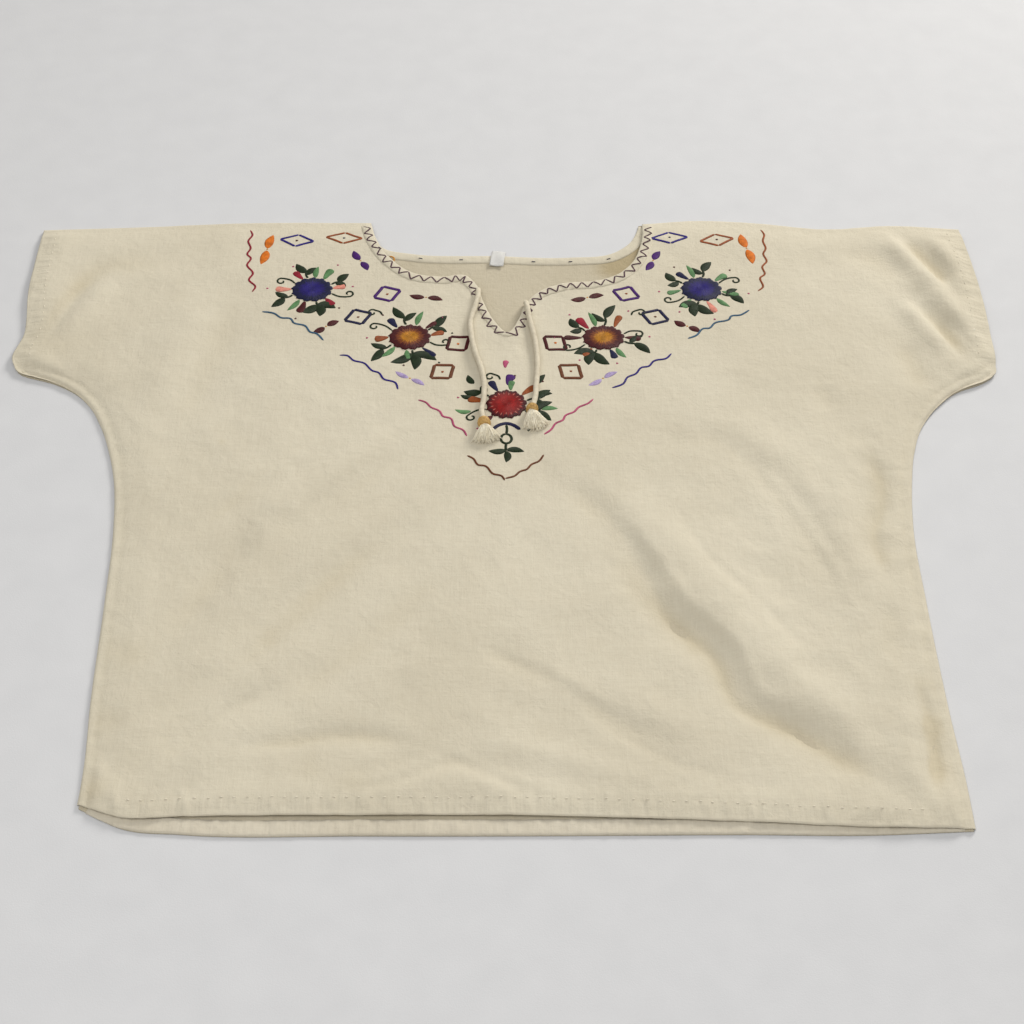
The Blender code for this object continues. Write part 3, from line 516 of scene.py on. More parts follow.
def front_height(x, y):
    """Height of the front's upper face over the table."""
    x = np.asarray(x, float)
    y = np.asarray(y, float)
    closed, mouth, hem, neck = front_reaches(x, y)
    calm = ease(np.minimum(hem, neck) / CALM_EDGE) * ease(mouth / CALM_MOUTH)
    calm = calm * ease(closed / CALM_CLOSED)
    shape = LOFT * ease(closed / LOFT_REACH) + fold_heights(x, y, FOLDS, 0.3, 15 * MM) * calm
    settle = ease(closed / SEAM_REACH)
    shape = shape + fold_heights(x, y, SOFT_FOLDS, 0.3, 20 * MM) * calm
    landed = SOFT_FLOOR * np.log1p(np.exp(shape / SOFT_FLOOR))
    landed = landed - SOFT_FLOOR * math.log(2) * (1 - settle)
    one_strip = STRIP + CLEAR + SPARE
    two_strips = one_strip + STRIP + CLEAR
    room_below = np.maximum.reduce([
        lift_at(hem, two_strips, HEM_DEPTH + STRIP_MARGIN, 30 * MM),
        lift_at(mouth, two_strips, MOUTH_DEPTH + STRIP_MARGIN, 30 * MM),
        lift_at(neck, one_strip, CASING_DEPTH + STRIP_MARGIN, 20 * MM),
    ])
    lifted = np.maximum(landed, room_below * settle)
    top = 2 * LAYER + CLEAR + np.maximum(lifted, 0) * settle

    open_edge = np.minimum(hem, mouth)
    droop = 1.7 * MM * (1 - ease(open_edge / (16 * MM))) * settle
    wrinkle = (0.38 * crumple(x, y, 60 * MM, 3.1) + 0.20 * crumple(x, y, 28 * MM, 9.7)
               + 0.09 * crumple(x, y, 13 * MM, 5.3)) * MM * (0.35 + 0.65 * settle)
    wrinkle = wrinkle * (1 + 0.9 * ease((x - 4 * CM) / (16 * CM)) * ease((8 * CM - y) / (8 * CM)))
    place = distance_to(x, y, front_hem)[1]
    hem_puckers = puckers(place, hem, 9 * MM, 1.35 * MM, 10 * MM, 8 * MM, 11)
    groove = -0.3 * MM * np.exp(-((hem - HEM_SEWN) / SEWN_GROOVE) ** 2)
    pressed = fold_heights(x, y, CREASES, 0.25, 8 * MM)
    pressed = pressed * ease(hem / (16 * MM)) * ease(closed / (10 * MM))
    top = top - droop + wrinkle + pressed + hem_puckers * ease(closed / (8 * MM)) + groove * settle
    for side, line in enumerate((left_mouth, right_mouth)):
        away, place = distance_to(x, y, line)
        top = top + puckers(place, away, 10 * MM, 0.95 * MM, 11 * MM, 9 * MM, 21 + side) * settle
        top = top - 0.2 * MM * np.exp(-((away - MOUTH_SEWN) / SEWN_GROOVE) ** 2) * settle
    for side, line in enumerate((left_seam, right_seam)):
        away, place = distance_to(x, y, line)
        top = top + puckers(place, away, 13 * MM, 0.8 * MM, SEAM_SEWN, 8 * MM, 31 + side)
        top = top - 0.5 * MM * np.exp(-((away - SEAM_SEWN) / (1.4 * MM)) ** 2)
    away, place = distance_to(x, y, front_neck)
    neck_puckers = puckers(place, away, 11 * MM, 0.7 * MM, 9 * MM, 12 * MM, 41)
    top = top + neck_puckers * ease(closed / (6 * MM))
    rim = np.clip(closed / SIDE_ROLL, 0, 1)
    top = top * np.sqrt(np.clip(1 - (1 - rim) ** 2, 0.02, 1))
    rim = np.clip(open_edge / EDGE_ROLL, 0, 1)
    return top - 0.7 * MM * (1 - np.sqrt(1 - (1 - rim) ** 2)) * settle


def crowded(count, near):
    """Even steps from 0 to 1, with extra ones close to both ends."""
    middle = np.linspace(near[-1], 1 - near[-1], count)
    return np.concatenate([near[:-1], middle, 1 - np.array(near[:-1])[::-1]])


def section_shares(shares):
    """Even shares turned into sections evenly spaced along the side, round the underarm."""
    fine = np.linspace(SIDE_LOW, SIDE_HIGH, 600)
    along = lengths_along(np.stack([side_x(fine, "left"), fine], axis=1))
    heights = np.interp(np.asarray(shares) * along[-1], along, fine)
    return (heights - SIDE_LOW) / (SIDE_HIGH - SIDE_LOW)


def cloth_grid(columns, rows, layer, inset):
    """A sheet of the cut, drawn in by a small inset at its sides and shoulders."""
    bm = bmesh.new()
    bmesh.ops.create_grid(bm, x_segments=len(columns) - 1, y_segments=len(rows) - 1, size=0.5)
    spots = np.array([vert.co[:] for vert in bm.verts]) + 0.5
    across = np.interp(spots[:, 0], np.linspace(0, 1, len(columns)), columns)
    up = np.interp(spots[:, 1], np.linspace(0, 1, len(rows)), rows)
    x, y = lay_out(across, up, layer)
    x = x + inset * (1 - 2 * across)
    y = y - inset * up
    return bm, x, y


def inside(x, y, line):
    """Whether each point is inside the outline that a line closes."""
    within = np.zeros(np.shape(x), bool)
    for (ax, ay), (bx, by) in zip(line, np.roll(line, -1, axis=0)):
        crosses = (ay > y) != (by > y)
        if ay != by:
            within ^= crosses & (x < (bx - ax) * (y - ay) / (by - ay) + ax)
    return within


def nearest_on(x, y, line):
    return read_at(distance_to(x, y, line)[1], lengths_along(line), line).T


def cut_neck(bm, x, y, line):
    """Draws the sheet's points on to the neck's edge and takes away what is inside it."""
    far = distance_to(x, y, line)[0] * np.where(inside(x, y, line), -1, 1)
    bm.verts.index_update()
    for edge in bm.edges:
        first, second = edge.verts[0].index, edge.verts[1].index
        if far[first] * far[second] < 0:
            drawn = first if abs(far[first]) < abs(far[second]) else second
            far[drawn] = 0
    on_edge = far == 0
    x[on_edge], y[on_edge] = nearest_on(x[on_edge], y[on_edge], line)
    for face in bm.faces[:]:
        signs = [far[vert.index] for vert in face.verts]
        if min(signs) < 0 < max(signs):
            corners = [vert for vert in face.verts if far[vert.index] == 0]
            bmesh.utils.face_split(face, corners[0], corners[1])
    gone = [face for face in bm.faces if min(far[vert.index] for vert in face.verts) < 0]
    keep = np.column_stack([x, y])
    for vert in bm.verts:
        vert.co = (*keep[vert.index], 0)
    bmesh.ops.delete(bm, geom=gone, context="FACES")


def set_heights(bm, height):
    spots = np.array([vert.co[:] for vert in bm.verts])
    for vert, z in zip(bm.verts, height(spots[:, 0], spots[:, 1])):
        vert.co.z = z


def give_wall(bm, thickness):
    """A second face straight below the first, joined round every edge."""
    grown = bmesh.ops.extrude_face_region(bm, geom=bm.faces[:])
    lower = [item for item in grown["geom"] if isinstance(item, bmesh.types.BMVert)]
    for vert in lower:
        vert.co.z = max(vert.co.z - thickness, 0.05 * MM)
    bmesh.ops.recalc_face_normals(bm, faces=bm.faces[:])


def mark(piece, name, shares_at):
    """Writes a share for each point of a piece, which its finish reads by name."""
    spots = np.array([vert.co[:] for vert in piece.data.vertices])
    layer = piece.data.attributes.new(name, "FLOAT", "POINT")
    layer.data.foreach_set("value", np.asarray(shares_at(spots[:, 0], spots[:, 1]), np.float32))


# Faint darker patches: x, y and spread in cm, and strength. The two broad ones on the left sleeve
# are painted shade.
DARK_PATCHES = [
    (-12.8, -26.6, 1.3, 0.5), (-9.9, -27.4, 1.1, 0.45), (-25.6, -17.5, 1.6, 0.35),
    (-21.9, 3.8, 0.35, 0.8), (-16.5, -7.8, 0.25, 0.9), (-37.0, 15.2, 2.0, 0.5),
    (36.9, 23.8, 1.2, 0.55), (35.8, 16.0, 1.2, 0.55), (-26.9, -16.5, 1.6, 0.4),
    (-26.8, -22.5, 1.5, 0.55), (-27.0, -28.2, 1.1, 0.75), (-31.0, 24.0, 6.5, 0.3),
    (-27.0, 16.0, 6.0, 0.2), (29.2, -19.5, 0.9, 0.55), (29.4, -23.0, 0.8, 0.6),
    (29.2, -26.5, 0.8, 0.6), (28.3, -8.0, 1.0, 0.35),
]


# Painted shade: the share is higher in the folds' troughs and the creases' hollows, and the darker
# patches above and a faint line 8 mm in from the side seams are added to it. The cloth's finish
# paints it darker where the share is high.
def painted_shade_and_patches(x, y):
    deep = -fold_heights(x, y, FOLDS + SOFT_FOLDS, 0.3, 15 * MM) / (4.5 * MM)
    for at_x, at_y, spread, strength in DARK_PATCHES:
        away = np.hypot(x - at_x * CM, y - at_y * CM)
        deep = deep + strength * np.exp(-away ** 2 / (spread * CM) ** 2)
    seams = distance_to_nearest(x, y, (left_seam, right_seam))
    deep = deep - 0.25 * fold_heights(x, y, CREASES, 0.25, 8 * MM) / MM
    return np.clip(deep, 0, 1) + 0.25 * np.exp(-((seams - 8 * MM) / (2.5 * MM)) ** 2)


def beside_hem(x, y):
    return np.exp(-((distance_to(x, y, front_hem)[0] - 6 * MM) / (7 * MM)) ** 2)


def beside_mouth(x, y):
    away = distance_to_nearest(x, y, (left_mouth, right_mouth))
    return np.exp(-((away - 8 * MM) / (8 * MM)) ** 2)


def cotton_finish(name, light, dark):
    """Unbleached plain-woven cotton: uneven yarns both ways, small crinkles, pale and worn, painted
    darker by a share on the mesh that holds painted shade and darker patches, with faint soil
    blotches and stitched edges that are drawn in."""
    cloth = Finish(name, 0.93, sheen=0.18, sheen_tint=(1.0, 0.95, 0.84, 1))
    at = cloth.place()
    x, y = cloth.first_two(at)
    drift = cloth.noise(45, 2) * 0.9
    yarns = (x * 9500 + drift * 9).wave() * (y * 9500 + drift * 9).wave()
    warp = cloth.noise(60, 3, (22, 1, 1))
    weft = cloth.noise(60, 3, (1, 22, 1))
    wash = cloth.noise(7, 4)
    crinkle = cloth.noise(170, 4)
    tone = warp * 0.22 + weft * 0.22 + wash * 0.46 + crinkle * 0.1
    shade_and_patches, hem, mouth = (cloth.node("ShaderNodeAttribute", {"attribute_name": kind}, output=2)
                          for kind in ("shade_and_patches", "hem", "mouth"))
    # Painted shade and darker patches, read from the mesh, and random soil blotches darken the
    # colour together.
    soil_and_shade = shade_and_patches * 0.75 + cloth.noise(16, 4).between(0.60, 0.78) * 0.3
    soiled_and_shaded_tone = (dark[0] * 0.86, dark[1] * 0.80, dark[2] * 0.66, 1)
    clean = cloth.mix(tone.between(0.30, 0.70), dark, light)
    cloth.paint(cloth.mix(soil_and_shade.between(0, 1.6), clean, soiled_and_shaded_tone))
    gathers = ((cloth.noise(115, 2, (1, 0.16, 0.1)) - 0.5) * hem
               + (cloth.noise(115, 2, (0.16, 1, 0.1)) - 0.5) * mouth)
    bent = cloth.noise(30, 2) * 0.03
    shifted = cloth.node("ShaderNodeVectorMath", {"operation": "ADD"}, {0: at, 1: bent})
    sharp = 1 - (cloth.noise(230, 3, (1, 1, 0.2), shifted) - 0.5).size() * 7
    broad = 1 - (cloth.noise(62, 3, (1, 0.8, 0.2), shifted) - 0.5).size() * 6
    height = (yarns * 0.03 + warp * 0.12 + weft * 0.12 + crinkle * 0.5 + sharp * 0.06
              + broad * 0.14 + gathers * 2.4)
    cloth.raise_up(height, 1.3 * MM, 0.75)
    return cloth


cotton = cotton_finish("cotton", (0.670, 0.622, 0.497, 1), (0.575, 0.523, 0.403, 1))

columns = crowded(236, [0, 0.0009, 0.002, 0.0036, 0.006, 0.009])
rows = section_shares(crowded(172, [0, 0.001, 0.0022, 0.0045, 0.008]))
bm, x, y = cloth_grid(columns, rows, "front", 0)
cut_neck(bm, x, y, front_neck)
set_heights(bm, front_height)
give_wall(bm, CLOTH)
laid_cloth = [BVHTree.FromBMesh(bm)]
front = make_piece("front", bm, cotton)
# The front's share of painted shade and darker patches.
mark(front, "shade_and_patches", painted_shade_and_patches)
mark(front, "hem", beside_hem)
mark(front, "mouth", beside_mouth)
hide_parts("body_front")
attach(front, "root")


# The back: the other half of the same cloth, flat on the table. Its inner face shows inside the
# neck, with soft waves, and a narrow band of it shows below the front's hem.
def back_height(x, y):
    closed = distance_to_nearest(x, y, (left_seam, right_seam, shoulder_fold))
    bare = ease((y - 24 * CM) / (4 * CM)) * (1 - ease((np.abs(x) - 9 * CM) / (3 * CM)))
    waves = 0.5 + 0.5 * crumple(x, y, 35 * MM, 2.2)
    hem, place = distance_to(x, y, back_hem)
    drawn = puckers(place, hem, 14 * MM, 0.35 * MM, 11 * MM, 8 * MM, 51)
    rim = np.clip(hem / (1.2 * MM), 0, 1)
    turned = 0.15 * MM * (1 - ease((hem - 11 * MM) / (2 * MM)))
    top = 0.62 * MM + waves * (0.12 + 0.25 * bare) * MM + drawn + turned
    return top - 0.35 * MM * (1 - np.sqrt(1 - (1 - rim) ** 2))


columns = crowded(150, [0, 0.002, 0.006])
rows = section_shares(crowded(130, [0, 0.0012, 0.003, 0.007]))
bm, x, y = cloth_grid(columns, rows, "back", 1.4 * MM)
cut_neck(bm, x, y, back_neck)
set_heights(bm, back_height)
give_wall(bm, CLOTH)
laid_cloth.append(BVHTree.FromBMesh(bm))
# The back's cotton is the same cloth painted darker all over: painted shade on its inner face.
shaded_inside_cotton = cotton_finish("cotton_inside_painted_shade", (0.560, 0.505, 0.385, 1), (0.465, 0.410, 0.295, 1))
back = make_piece("back", bm, shaded_inside_cotton)
# Painted shade inside the back neck, strongest in its right corner and fainter in its left.
mark(back, "shade_and_patches", lambda x, y: ease((y - 23 * CM) / (2 * CM)) * (
    2.3 * ease((x - 6.6 * CM) / (3.4 * CM)) + 0.5 * ease((-x - 7.5 * CM) / (3 * CM))))
mark(back, "hem", lambda x, y: np.exp(-(distance_to(x, y, back_hem)[0] / (12 * MM)) ** 2))
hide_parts("body_back")
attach(back, "root")


# The turned hems: the cloth's own edge folded in and stitched down, seen inside the back's hem,
# in the sleeves' mouths and from below. Thin cotton bands, drawn in by their stitching.
def band_along(name, line, inset, depth, inward, top):
    """A thin band beside an edge, its upper face at the heights that top(x, y) gives."""
    runs = directions(line)
    normals = np.stack([-runs[:, 1], runs[:, 0]], axis=1) * inward
    bm = bmesh.new()
    bmesh.ops.create_grid(bm, x_segments=len(line) - 1, y_segments=7, size=0.5)
    spots = np.array([vert.co[:] for vert in bm.verts]) + 0.5
    at = spots[:, 0] * (len(line) - 1)
    off = inset + spots[:, 1] * (depth - inset)
    index = np.arange(len(line))
    x, y = (read_at(at, index, line) + read_at(at, index, normals) * off[:, None]).T
    for vert, place in zip(bm.verts, zip(x, y, top(x, y, off))):
        vert.co = place
    give_wall(bm, TURNED)
    band = make_piece(name, bm, turned)
    kind = "mouth" if name.startswith("sleeve") else "hem"
    mark(band, kind, lambda x, y: np.full(len(x), 0.9))
    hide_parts(name[:-len("_band")])
    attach(band, "root")
    return band


def part_of(line, low, high, step):
    """Part of a line, from one share of its length to another."""
    along = lengths_along(line)
    count = int((high - low) * along[-1] / step) + 1
    places = np.linspace(low * along[-1], high * along[-1], count)
    return read_at(places, along, line)


def on_back(edge):
    def top(x, y, off):
        rounded = np.clip(off / (1.4 * MM), 0, 1)
        fold = 0.5 * MM * (1 - np.sqrt(1 - (1 - rounded) ** 2))
        away, place = distance_to(x, y, edge)
        drawn = puckers(place, off, 8 * MM, 0.9 * MM, 8 * MM, 8 * MM, 61)
        sewn = -0.2 * MM * np.exp(-((off - 11 * MM) / (0.9 * MM)) ** 2)
        return back_height(x, y) + TURNED + 0.08 * MM - fold + drawn + sewn
    return top


def under_front(x, y, off):
    return front_height(x, y) - CLOTH - 0.08 * MM


TURNED = 0.45 * MM
turned = cotton_finish("turned_cotton", (0.665, 0.615, 0.505, 1), (0.575, 0.522, 0.412, 1))
band_along("hem_back_band", part_of(back_hem, 0.012, 0.988, 3.2 * MM),
           0.2 * MM, HEM_DEPTH, 1, on_back(back_hem))
band_along("hem_front_band", part_of(front_hem, 0.03, 0.97, 3.2 * MM),
           0.5 * MM, HEM_DEPTH, 1, under_front)
for side, mouth, inward in (("left", left_mouth, -1), ("right", right_mouth, 1)):
    edge = part_of(mouth, 0.1, 0.86, 2.6 * MM)
    band_along("sleeve_hem_%s_back_band" % side, edge,
               0.2 * MM, MOUTH_DEPTH, inward, on_back(mouth))
    band_along("sleeve_hem_%s_front_band" % side, edge,
               0.5 * MM, MOUTH_DEPTH, inward, under_front)


# The neck casing: the neck's edge folded in over the drawstring and sewn down, so it stands up
# as a soft gathered roll round the front neck and its slit, and inside the back neck.
def sweep(count, sides, place, map_size=(1, 1)):
    """A closed tube of rings: place(share along, share round) gives each point. Its own map runs
    along it."""
    bm = bmesh.new()
    bmesh.ops.create_grid(bm, x_segments=count - 1, y_segments=sides, size=0.5)
    spots = np.array([vert.co[:] for vert in bm.verts]) + 0.5
    along_map = bm.loops.layers.uv.new("along")
    for face in bm.faces:
        for loop in face.loops:
            spot = loop.vert.co
            loop[along_map].uv = ((spot.x + 0.5) * map_size[0], (spot.y + 0.5) * map_size[1])
    for vert, point in zip(bm.verts, place(spots[:, 0], spots[:, 1])):
        vert.co = point
    bmesh.ops.remove_doubles(bm, verts=bm.verts[:], dist=1e-7)
    open_edges = [edge for edge in bm.edges if edge.is_boundary]
    bmesh.ops.holes_fill(bm, edges=open_edges, sides=0)
    bmesh.ops.recalc_face_normals(bm, faces=bm.faces[:])
    return bm


def casing(name, line, inward, width, ground, swell, seed, nodes):
    """A gathered roll along a neck edge: flat below, crowned above, sewn down at its inner side."""
    runs = directions(line)
    normals = np.stack([-runs[:, 1], runs[:, 0]], axis=1) * inward
    along = lengths_along(line)
    index = np.linspace(0, 1, len(line))

    def place(share, round_share):
        turn = round_share * 2 * math.pi
        wide = np.interp(share, index, width)
        across = 0.5 * wide * (1 - np.cos(turn)) - 0.3 * MM
        x, y = (read_at(share, index, line) + read_at(share, index, normals) * across[:, None]).T
        base = ground(x, y)
        upper = np.maximum(np.sin(turn), 0)
        at = share * along[-1]
        gathers = puckers(at, across, 7 * MM, 0.7 * MM, 0.55 * wide, 6 * MM, seed)
        lower = np.minimum(np.sin(turn), 0)
        z = base - 0.35 * MM + (swell * np.sqrt(upper) + gathers * upper) + lower * 0.6 * MM
        return np.stack([x, y, np.maximum(z, 0.05 * MM)], axis=1)

    bm = sweep(len(line), 16, place)
    laid_cloth.append(BVHTree.FromBMesh(bm))
    roll = make_piece(name, bm, cotton)
    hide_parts(*nodes)
    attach(roll, "root")
    return roll


front_run = part_of(front_neck, 0.035, 0.965, 2.0 * MM)
slit = np.exp(-(front_run[:, 0] - 0.5 * CM) ** 2 / (2.6 * CM) ** 2)
slit = slit * ease((23 * CM - front_run[:, 1]) / (2 * CM))
casing("neck_casing_front", front_run, -1, (9.5 - 4.0 * slit) * MM, front_height, 1.15 * MM, 71,
       ["neck_casing_front_left", "neck_casing_front_right"])
back_run = part_of(back_neck, 0.05, 0.95, 2.2 * MM)
casing("neck_casing_back_roll", back_run, -1, np.full(len(back_run), CASING_DEPTH), back_height,
       1.35 * MM, 72, ["neck_casing_back"])


# The label: a short woven tape folded double and caught under the neck's edge, left bare.
LABEL_WIDTH = 12 * MM
LABEL_LENGTH = 19 * MM
LABEL_AT = (-0.5 * CM, 26.2 * CM)
tape = Finish("label_tape", 0.75)
ribs = (tape.first_two(tape.place())[0] * 14000).wave()
tape.paint(tape.mix(tape.noise(300, 3), (0.72, 0.72, 0.70, 1), (0.86, 0.86, 0.84, 1)))
tape.raise_up(ribs * 0.5 + tape.noise(700, 2), 0.25 * MM, 0.8)
bm = bmesh.new()
bmesh.ops.create_grid(bm, x_segments=8, y_segments=12, size=0.5)
for vert in bm.verts:
    along, up = vert.co.x, vert.co.y
    lift = 2.9 + 0.7 * math.cos(4 * up) + 0.35 * math.sin(6 * along + 3 * up)
    vert.co = (along * LABEL_WIDTH, up * LABEL_LENGTH, lift * MM)
give_wall(bm, 0.5 * MM)
place = Matrix.Translation((*LABEL_AT, 0)) @ Matrix.Rotation(math.radians(-6), 4, "Z")
bmesh.ops.transform(bm, matrix=place, verts=bm.verts[:])
label = make_piece("neck_label_tape", bm, tape)
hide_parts("neck_label")
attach(label, "root")


# Laying threads on the cloth: where its surface is, tubes along a route, and joining many into one.
def cloth_at(x, y):
    """Height of whatever cloth lies uppermost at a point."""
    above = Vector((x, y, 50 * MM))
    hits = [cloth.ray_cast(above, Vector((0, 0, -1)))[0] for cloth in laid_cloth]
    return max([hit.z for hit in hits if hit], default=0.0)


def gather(bm, other):
    """Adds one bmesh to another and frees it."""
    spare = bpy.data.meshes.new("spare")
    other.to_mesh(spare)
    other.free()
    bm.from_mesh(spare)
    bpy.data.meshes.remove(spare)


def sewn_on(name, bm, finish):
    """A piece of thread that is sewn to the cloth."""
    piece = make_piece(name, bm, finish)
    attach(piece, "root")


def ring_frames(points):
    """At each point of a route: its direction, a level sideways and an upward."""
    runs = directions(points)
    sideways = np.stack([runs[:, 1], -runs[:, 0], np.zeros(len(runs))], axis=1)
    sideways = sideways / np.linalg.norm(sideways, axis=1)[:, None]
    return runs, sideways, np.cross(sideways, runs)


def tube(points, radius, sides, lobes=0, lobe=0.0, turns=0.0):
    """A round or stranded tube along a route's points."""
    runs, sideways, upward = ring_frames(points)
    index = np.linspace(0, 1, len(points))
    radius = np.broadcast_to(radius, index.shape)

    def place(share, round_share):
        turn = round_share * 2 * math.pi
        strands = 1 + lobe * np.cos(lobes * turn + turns * 2 * math.pi * share)
        far = (np.interp(share, index, radius) * strands)[:, None]
        centre, side, up = (read_at(share, index, table) for table in (points, sideways, upward))
        return centre + far * (np.cos(turn)[:, None] * side + np.sin(turn)[:, None] * up)

    return sweep(len(points), sides, place)


# The embroidered yoke: folk flowers, leaves, curls, diamonds and wavy lines, worked by hand in
# bright cotton thread. Each is a low pad of satin stitches laid side by side and sewn through.
THREADS = {
    "dark_green": (28, 46, 20), "light_green": (96, 140, 92), "maroon": (76, 16, 22),
    "crimson": (150, 34, 52), "rust": (152, 80, 38), "orange": (222, 118, 32), "red": (160, 20, 16),
    "gold": (206, 138, 38),
    "purple": (72, 28, 108), "blue_violet": (40, 28, 124), "navy": (22, 26, 66),
    "teal": (58, 96, 124), "rose": (184, 82, 118), "salmon": (226, 144, 126),
    "lilac": (178, 160, 206), "brown": (112, 66, 40), "mauve": (92, 66, 76),
}
STITCH_RISE = 0.5 * MM
worked = {name: bmesh.new() for name in THREADS}


def linear(colour, shade=1.0):
    return tuple((shade * part / 255) ** 2.2 for part in colour) + (1,)


def thread_finish(name, colour):
    """Mercerised cotton thread: fine slanting stitches with a soft shine along them."""
    thread = Finish("thread_" + name, 0.6)
    run, round_it = thread.along_and_round()
    slant = (round_it * 6.283).maths("COSINE").size() * 2.4
    lay = (run * 8.4 + slant + thread.noise(500, 2) * 2).wave()
    tone = (lay * 0.3 + thread.noise(220, 3)).between(0.1, 0.9)
    thread.shader.inputs["Specular IOR Level"].default_value = 0.25
    # The stitch stripes that raise the threads also make their colour lighter and darker: painted
    # highlight and shade along the stitches, mixed with random tone.
    thread.paint(thread.mix(tone, linear(colour, 0.68), linear(colour, 1.12)))
    thread.raise_up(lay * 0.5 + thread.noise(1500, 2) * 0.5, 0.22 * MM, 0.8)
    return thread


def stitch(colour, route, width, shape="line", rise=STITCH_RISE):
    """A pad of thread along a route in mm: a line, a pointed leaf or a round-tipped petal."""
    spine = smooth_route(np.array(route, float) * MM, 1.1 * MM if shape == "line" else 0.9 * MM)
    runs = directions(spine)
    index = np.linspace(0, 1, len(spine))
    length = lengths_along(spine)[-1] / MM

    def breadth(share):
        if shape == "leaf":
            return np.sin(math.pi * share ** 0.85) ** 0.75
        if shape == "petal":
            rounded = np.sqrt(np.clip(1 - (2 * share - 1) ** 6, 0, 1))
            return np.minimum(0.35 + 0.9 * share, 1) * rounded
        return np.sqrt(np.clip(1 - (2 * share - 1) ** 20, 0, 1))

    def place(share, round_share):
        turn = round_share * 2 * math.pi
        wide = np.maximum(breadth(share), 0.08)
        off = np.cos(turn) * wide * 0.5 * width * MM
        x = np.interp(share, index, spine[:, 0]) - np.interp(share, index, runs[:, 1]) * off
        y = np.interp(share, index, spine[:, 1]) + np.interp(share, index, runs[:, 0]) * off
        base = np.array([cloth_at(px, py) for px, py in zip(x, y)])
        up = np.sign(np.sin(turn)) * np.abs(np.sin(turn)) ** 0.7
        z = base + np.where(up > 0, up * rise * wide, up * 0.25 * MM)
        return np.stack([x, y, z], axis=1)

    gather(worked[colour], sweep(len(spine), 8, place, map_size=(length, 1)))


def bent(start, heading, length, bend):
    """Three points of a bent stroke that sets off at a heading in degrees."""
    turn = math.radians(heading)
    ahead = np.array([math.cos(turn), math.sin(turn)])
    beside = np.array([-ahead[1], ahead[0]])
    start = np.array(start, float)
    return [start, start + 0.5 * length * ahead + bend * beside, start + length * ahead]


def leaf(colour, start, heading, length, width, bend=1.2):
    stitch(colour, bent(start, heading, length, bend), width, "leaf")


def petal(colour, start, heading, length, width):
    stitch(colour, bent(start, heading, length, 0.4), width, "petal")


def curl(colour, start, heading, length, hand):
    """A tendril that rolls in at its end."""
    turn = math.radians(heading)
    ahead = np.array([math.cos(turn), math.sin(turn)])
    beside = np.array([-ahead[1], ahead[0]]) * hand
    start = np.array(start, float)
    route = [start, start + 0.5 * length * ahead - 1.5 * beside]
    for step in range(8):
        roll = math.radians(-90 + 50 * step)
        far = 4.2 - 0.38 * step
        route.append(start + (length + far * math.cos(roll)) * ahead
                     + (4.2 + far * math.sin(roll)) * beside)
    stitch(colour, route, 1.7)


def diamond(colour, centre, long, wide, turned_by, dot, thread=3.0):
    """A diamond of four stem-stitched sides with one knot inside."""
    turn = math.radians(turned_by)
    ahead = np.array([math.cos(turn), math.sin(turn)])
    beside = np.array([-ahead[1], ahead[0]])
    corners = [long * ahead, wide * beside, -long * ahead, -wide * beside]
    for first, last in zip(corners, corners[1:] + corners[:1]):
        bulge = 0.5 * (first + last) * 0.98
        stitch(colour, [centre + first, centre + bulge, centre + last], thread)
    petal(dot, np.array(centre) - 1.3 * ahead, turned_by, 2.6, 2.6)


def wavy_line(colour, ends, bow, waves, height):
    """A wavy stem-stitched line between two places."""
    start, stop = np.array(ends, float)
    beside = np.array([-(stop - start)[1], (stop - start)[0]])
    beside = beside / np.linalg.norm(beside)
    dice = random.Random(int(abs(start[0]) + abs(stop[1]) + waves))
    route = []
    for step in range(waves * 2 + 1):
        share = step / (waves * 2)
        swing = height * dice.uniform(0.35, 1.2) * (1 if step % 2 else -1)
        slip = dice.uniform(-0.18, 0.18) / waves if 0 < step < waves * 2 else 0
        off = bow * 4 * share * (1 - share) + swing
        route.append(start + (stop - start) * (share + slip) + beside * off)
    stitch(colour, route, 1.8)


def leaf_pair(colour, centre, heading, length, width, knot):
    """Two leaves end to end with a knot between them."""
    for way in (0, 180):
        turn = math.radians(heading + way)
        start = np.array(centre) + 1.4 * np.array([math.cos(turn), math.sin(turn)])
        leaf(colour, start, heading + way, length, width, 0.8)
    petal(knot, np.array(centre) - [0.9, 0], 0, 1.8, 2.2)


# The yoke is laid out by rule: mirrored about the neck's middle, with its flowers on one even arc.
NECK_MIDDLE = 3.0


def on_arc(off):
    return (NECK_MIDDLE + off, 80 + 1.12 * abs(off) - 0.0017 * off ** 2)


# Flowers: centre, reach sideways and up, and colours of the heart, the middle and the rim
FLOWERS = [
    ("outer_left", on_arc(-165), 17, 15, ("blue_violet", "blue_violet", "navy")),
    ("inner_left", on_arc(-80), 17, 15, ("gold", "rust", "maroon")),
    ("middle", on_arc(0), 16, 16, ("red", "red", "maroon")),
    ("inner_right", on_arc(80), 17, 15, ("gold", "rust", "maroon")),
    ("outer_right", on_arc(165), 17, 15, ("blue_violet", "blue_violet", "navy")),
]
# Round each flower, in turn: what grows there. The two sides run opposite ways round.
SPRAY = ["twig", "bud", "curl", "bud", "twig", "leaf", "bud", "trio", "bud", "curl", "bud", "twig",
         "bud", "leaf"]
MIDDLE_SPRAY = ["bud", "twig", "bud", "curl", "bud", "trio", "bud", "trio", "twig", "bud", "bud"]
BUDS = ["light_green", "crimson", "navy", "salmon", "rust", "light_green", "maroon"]


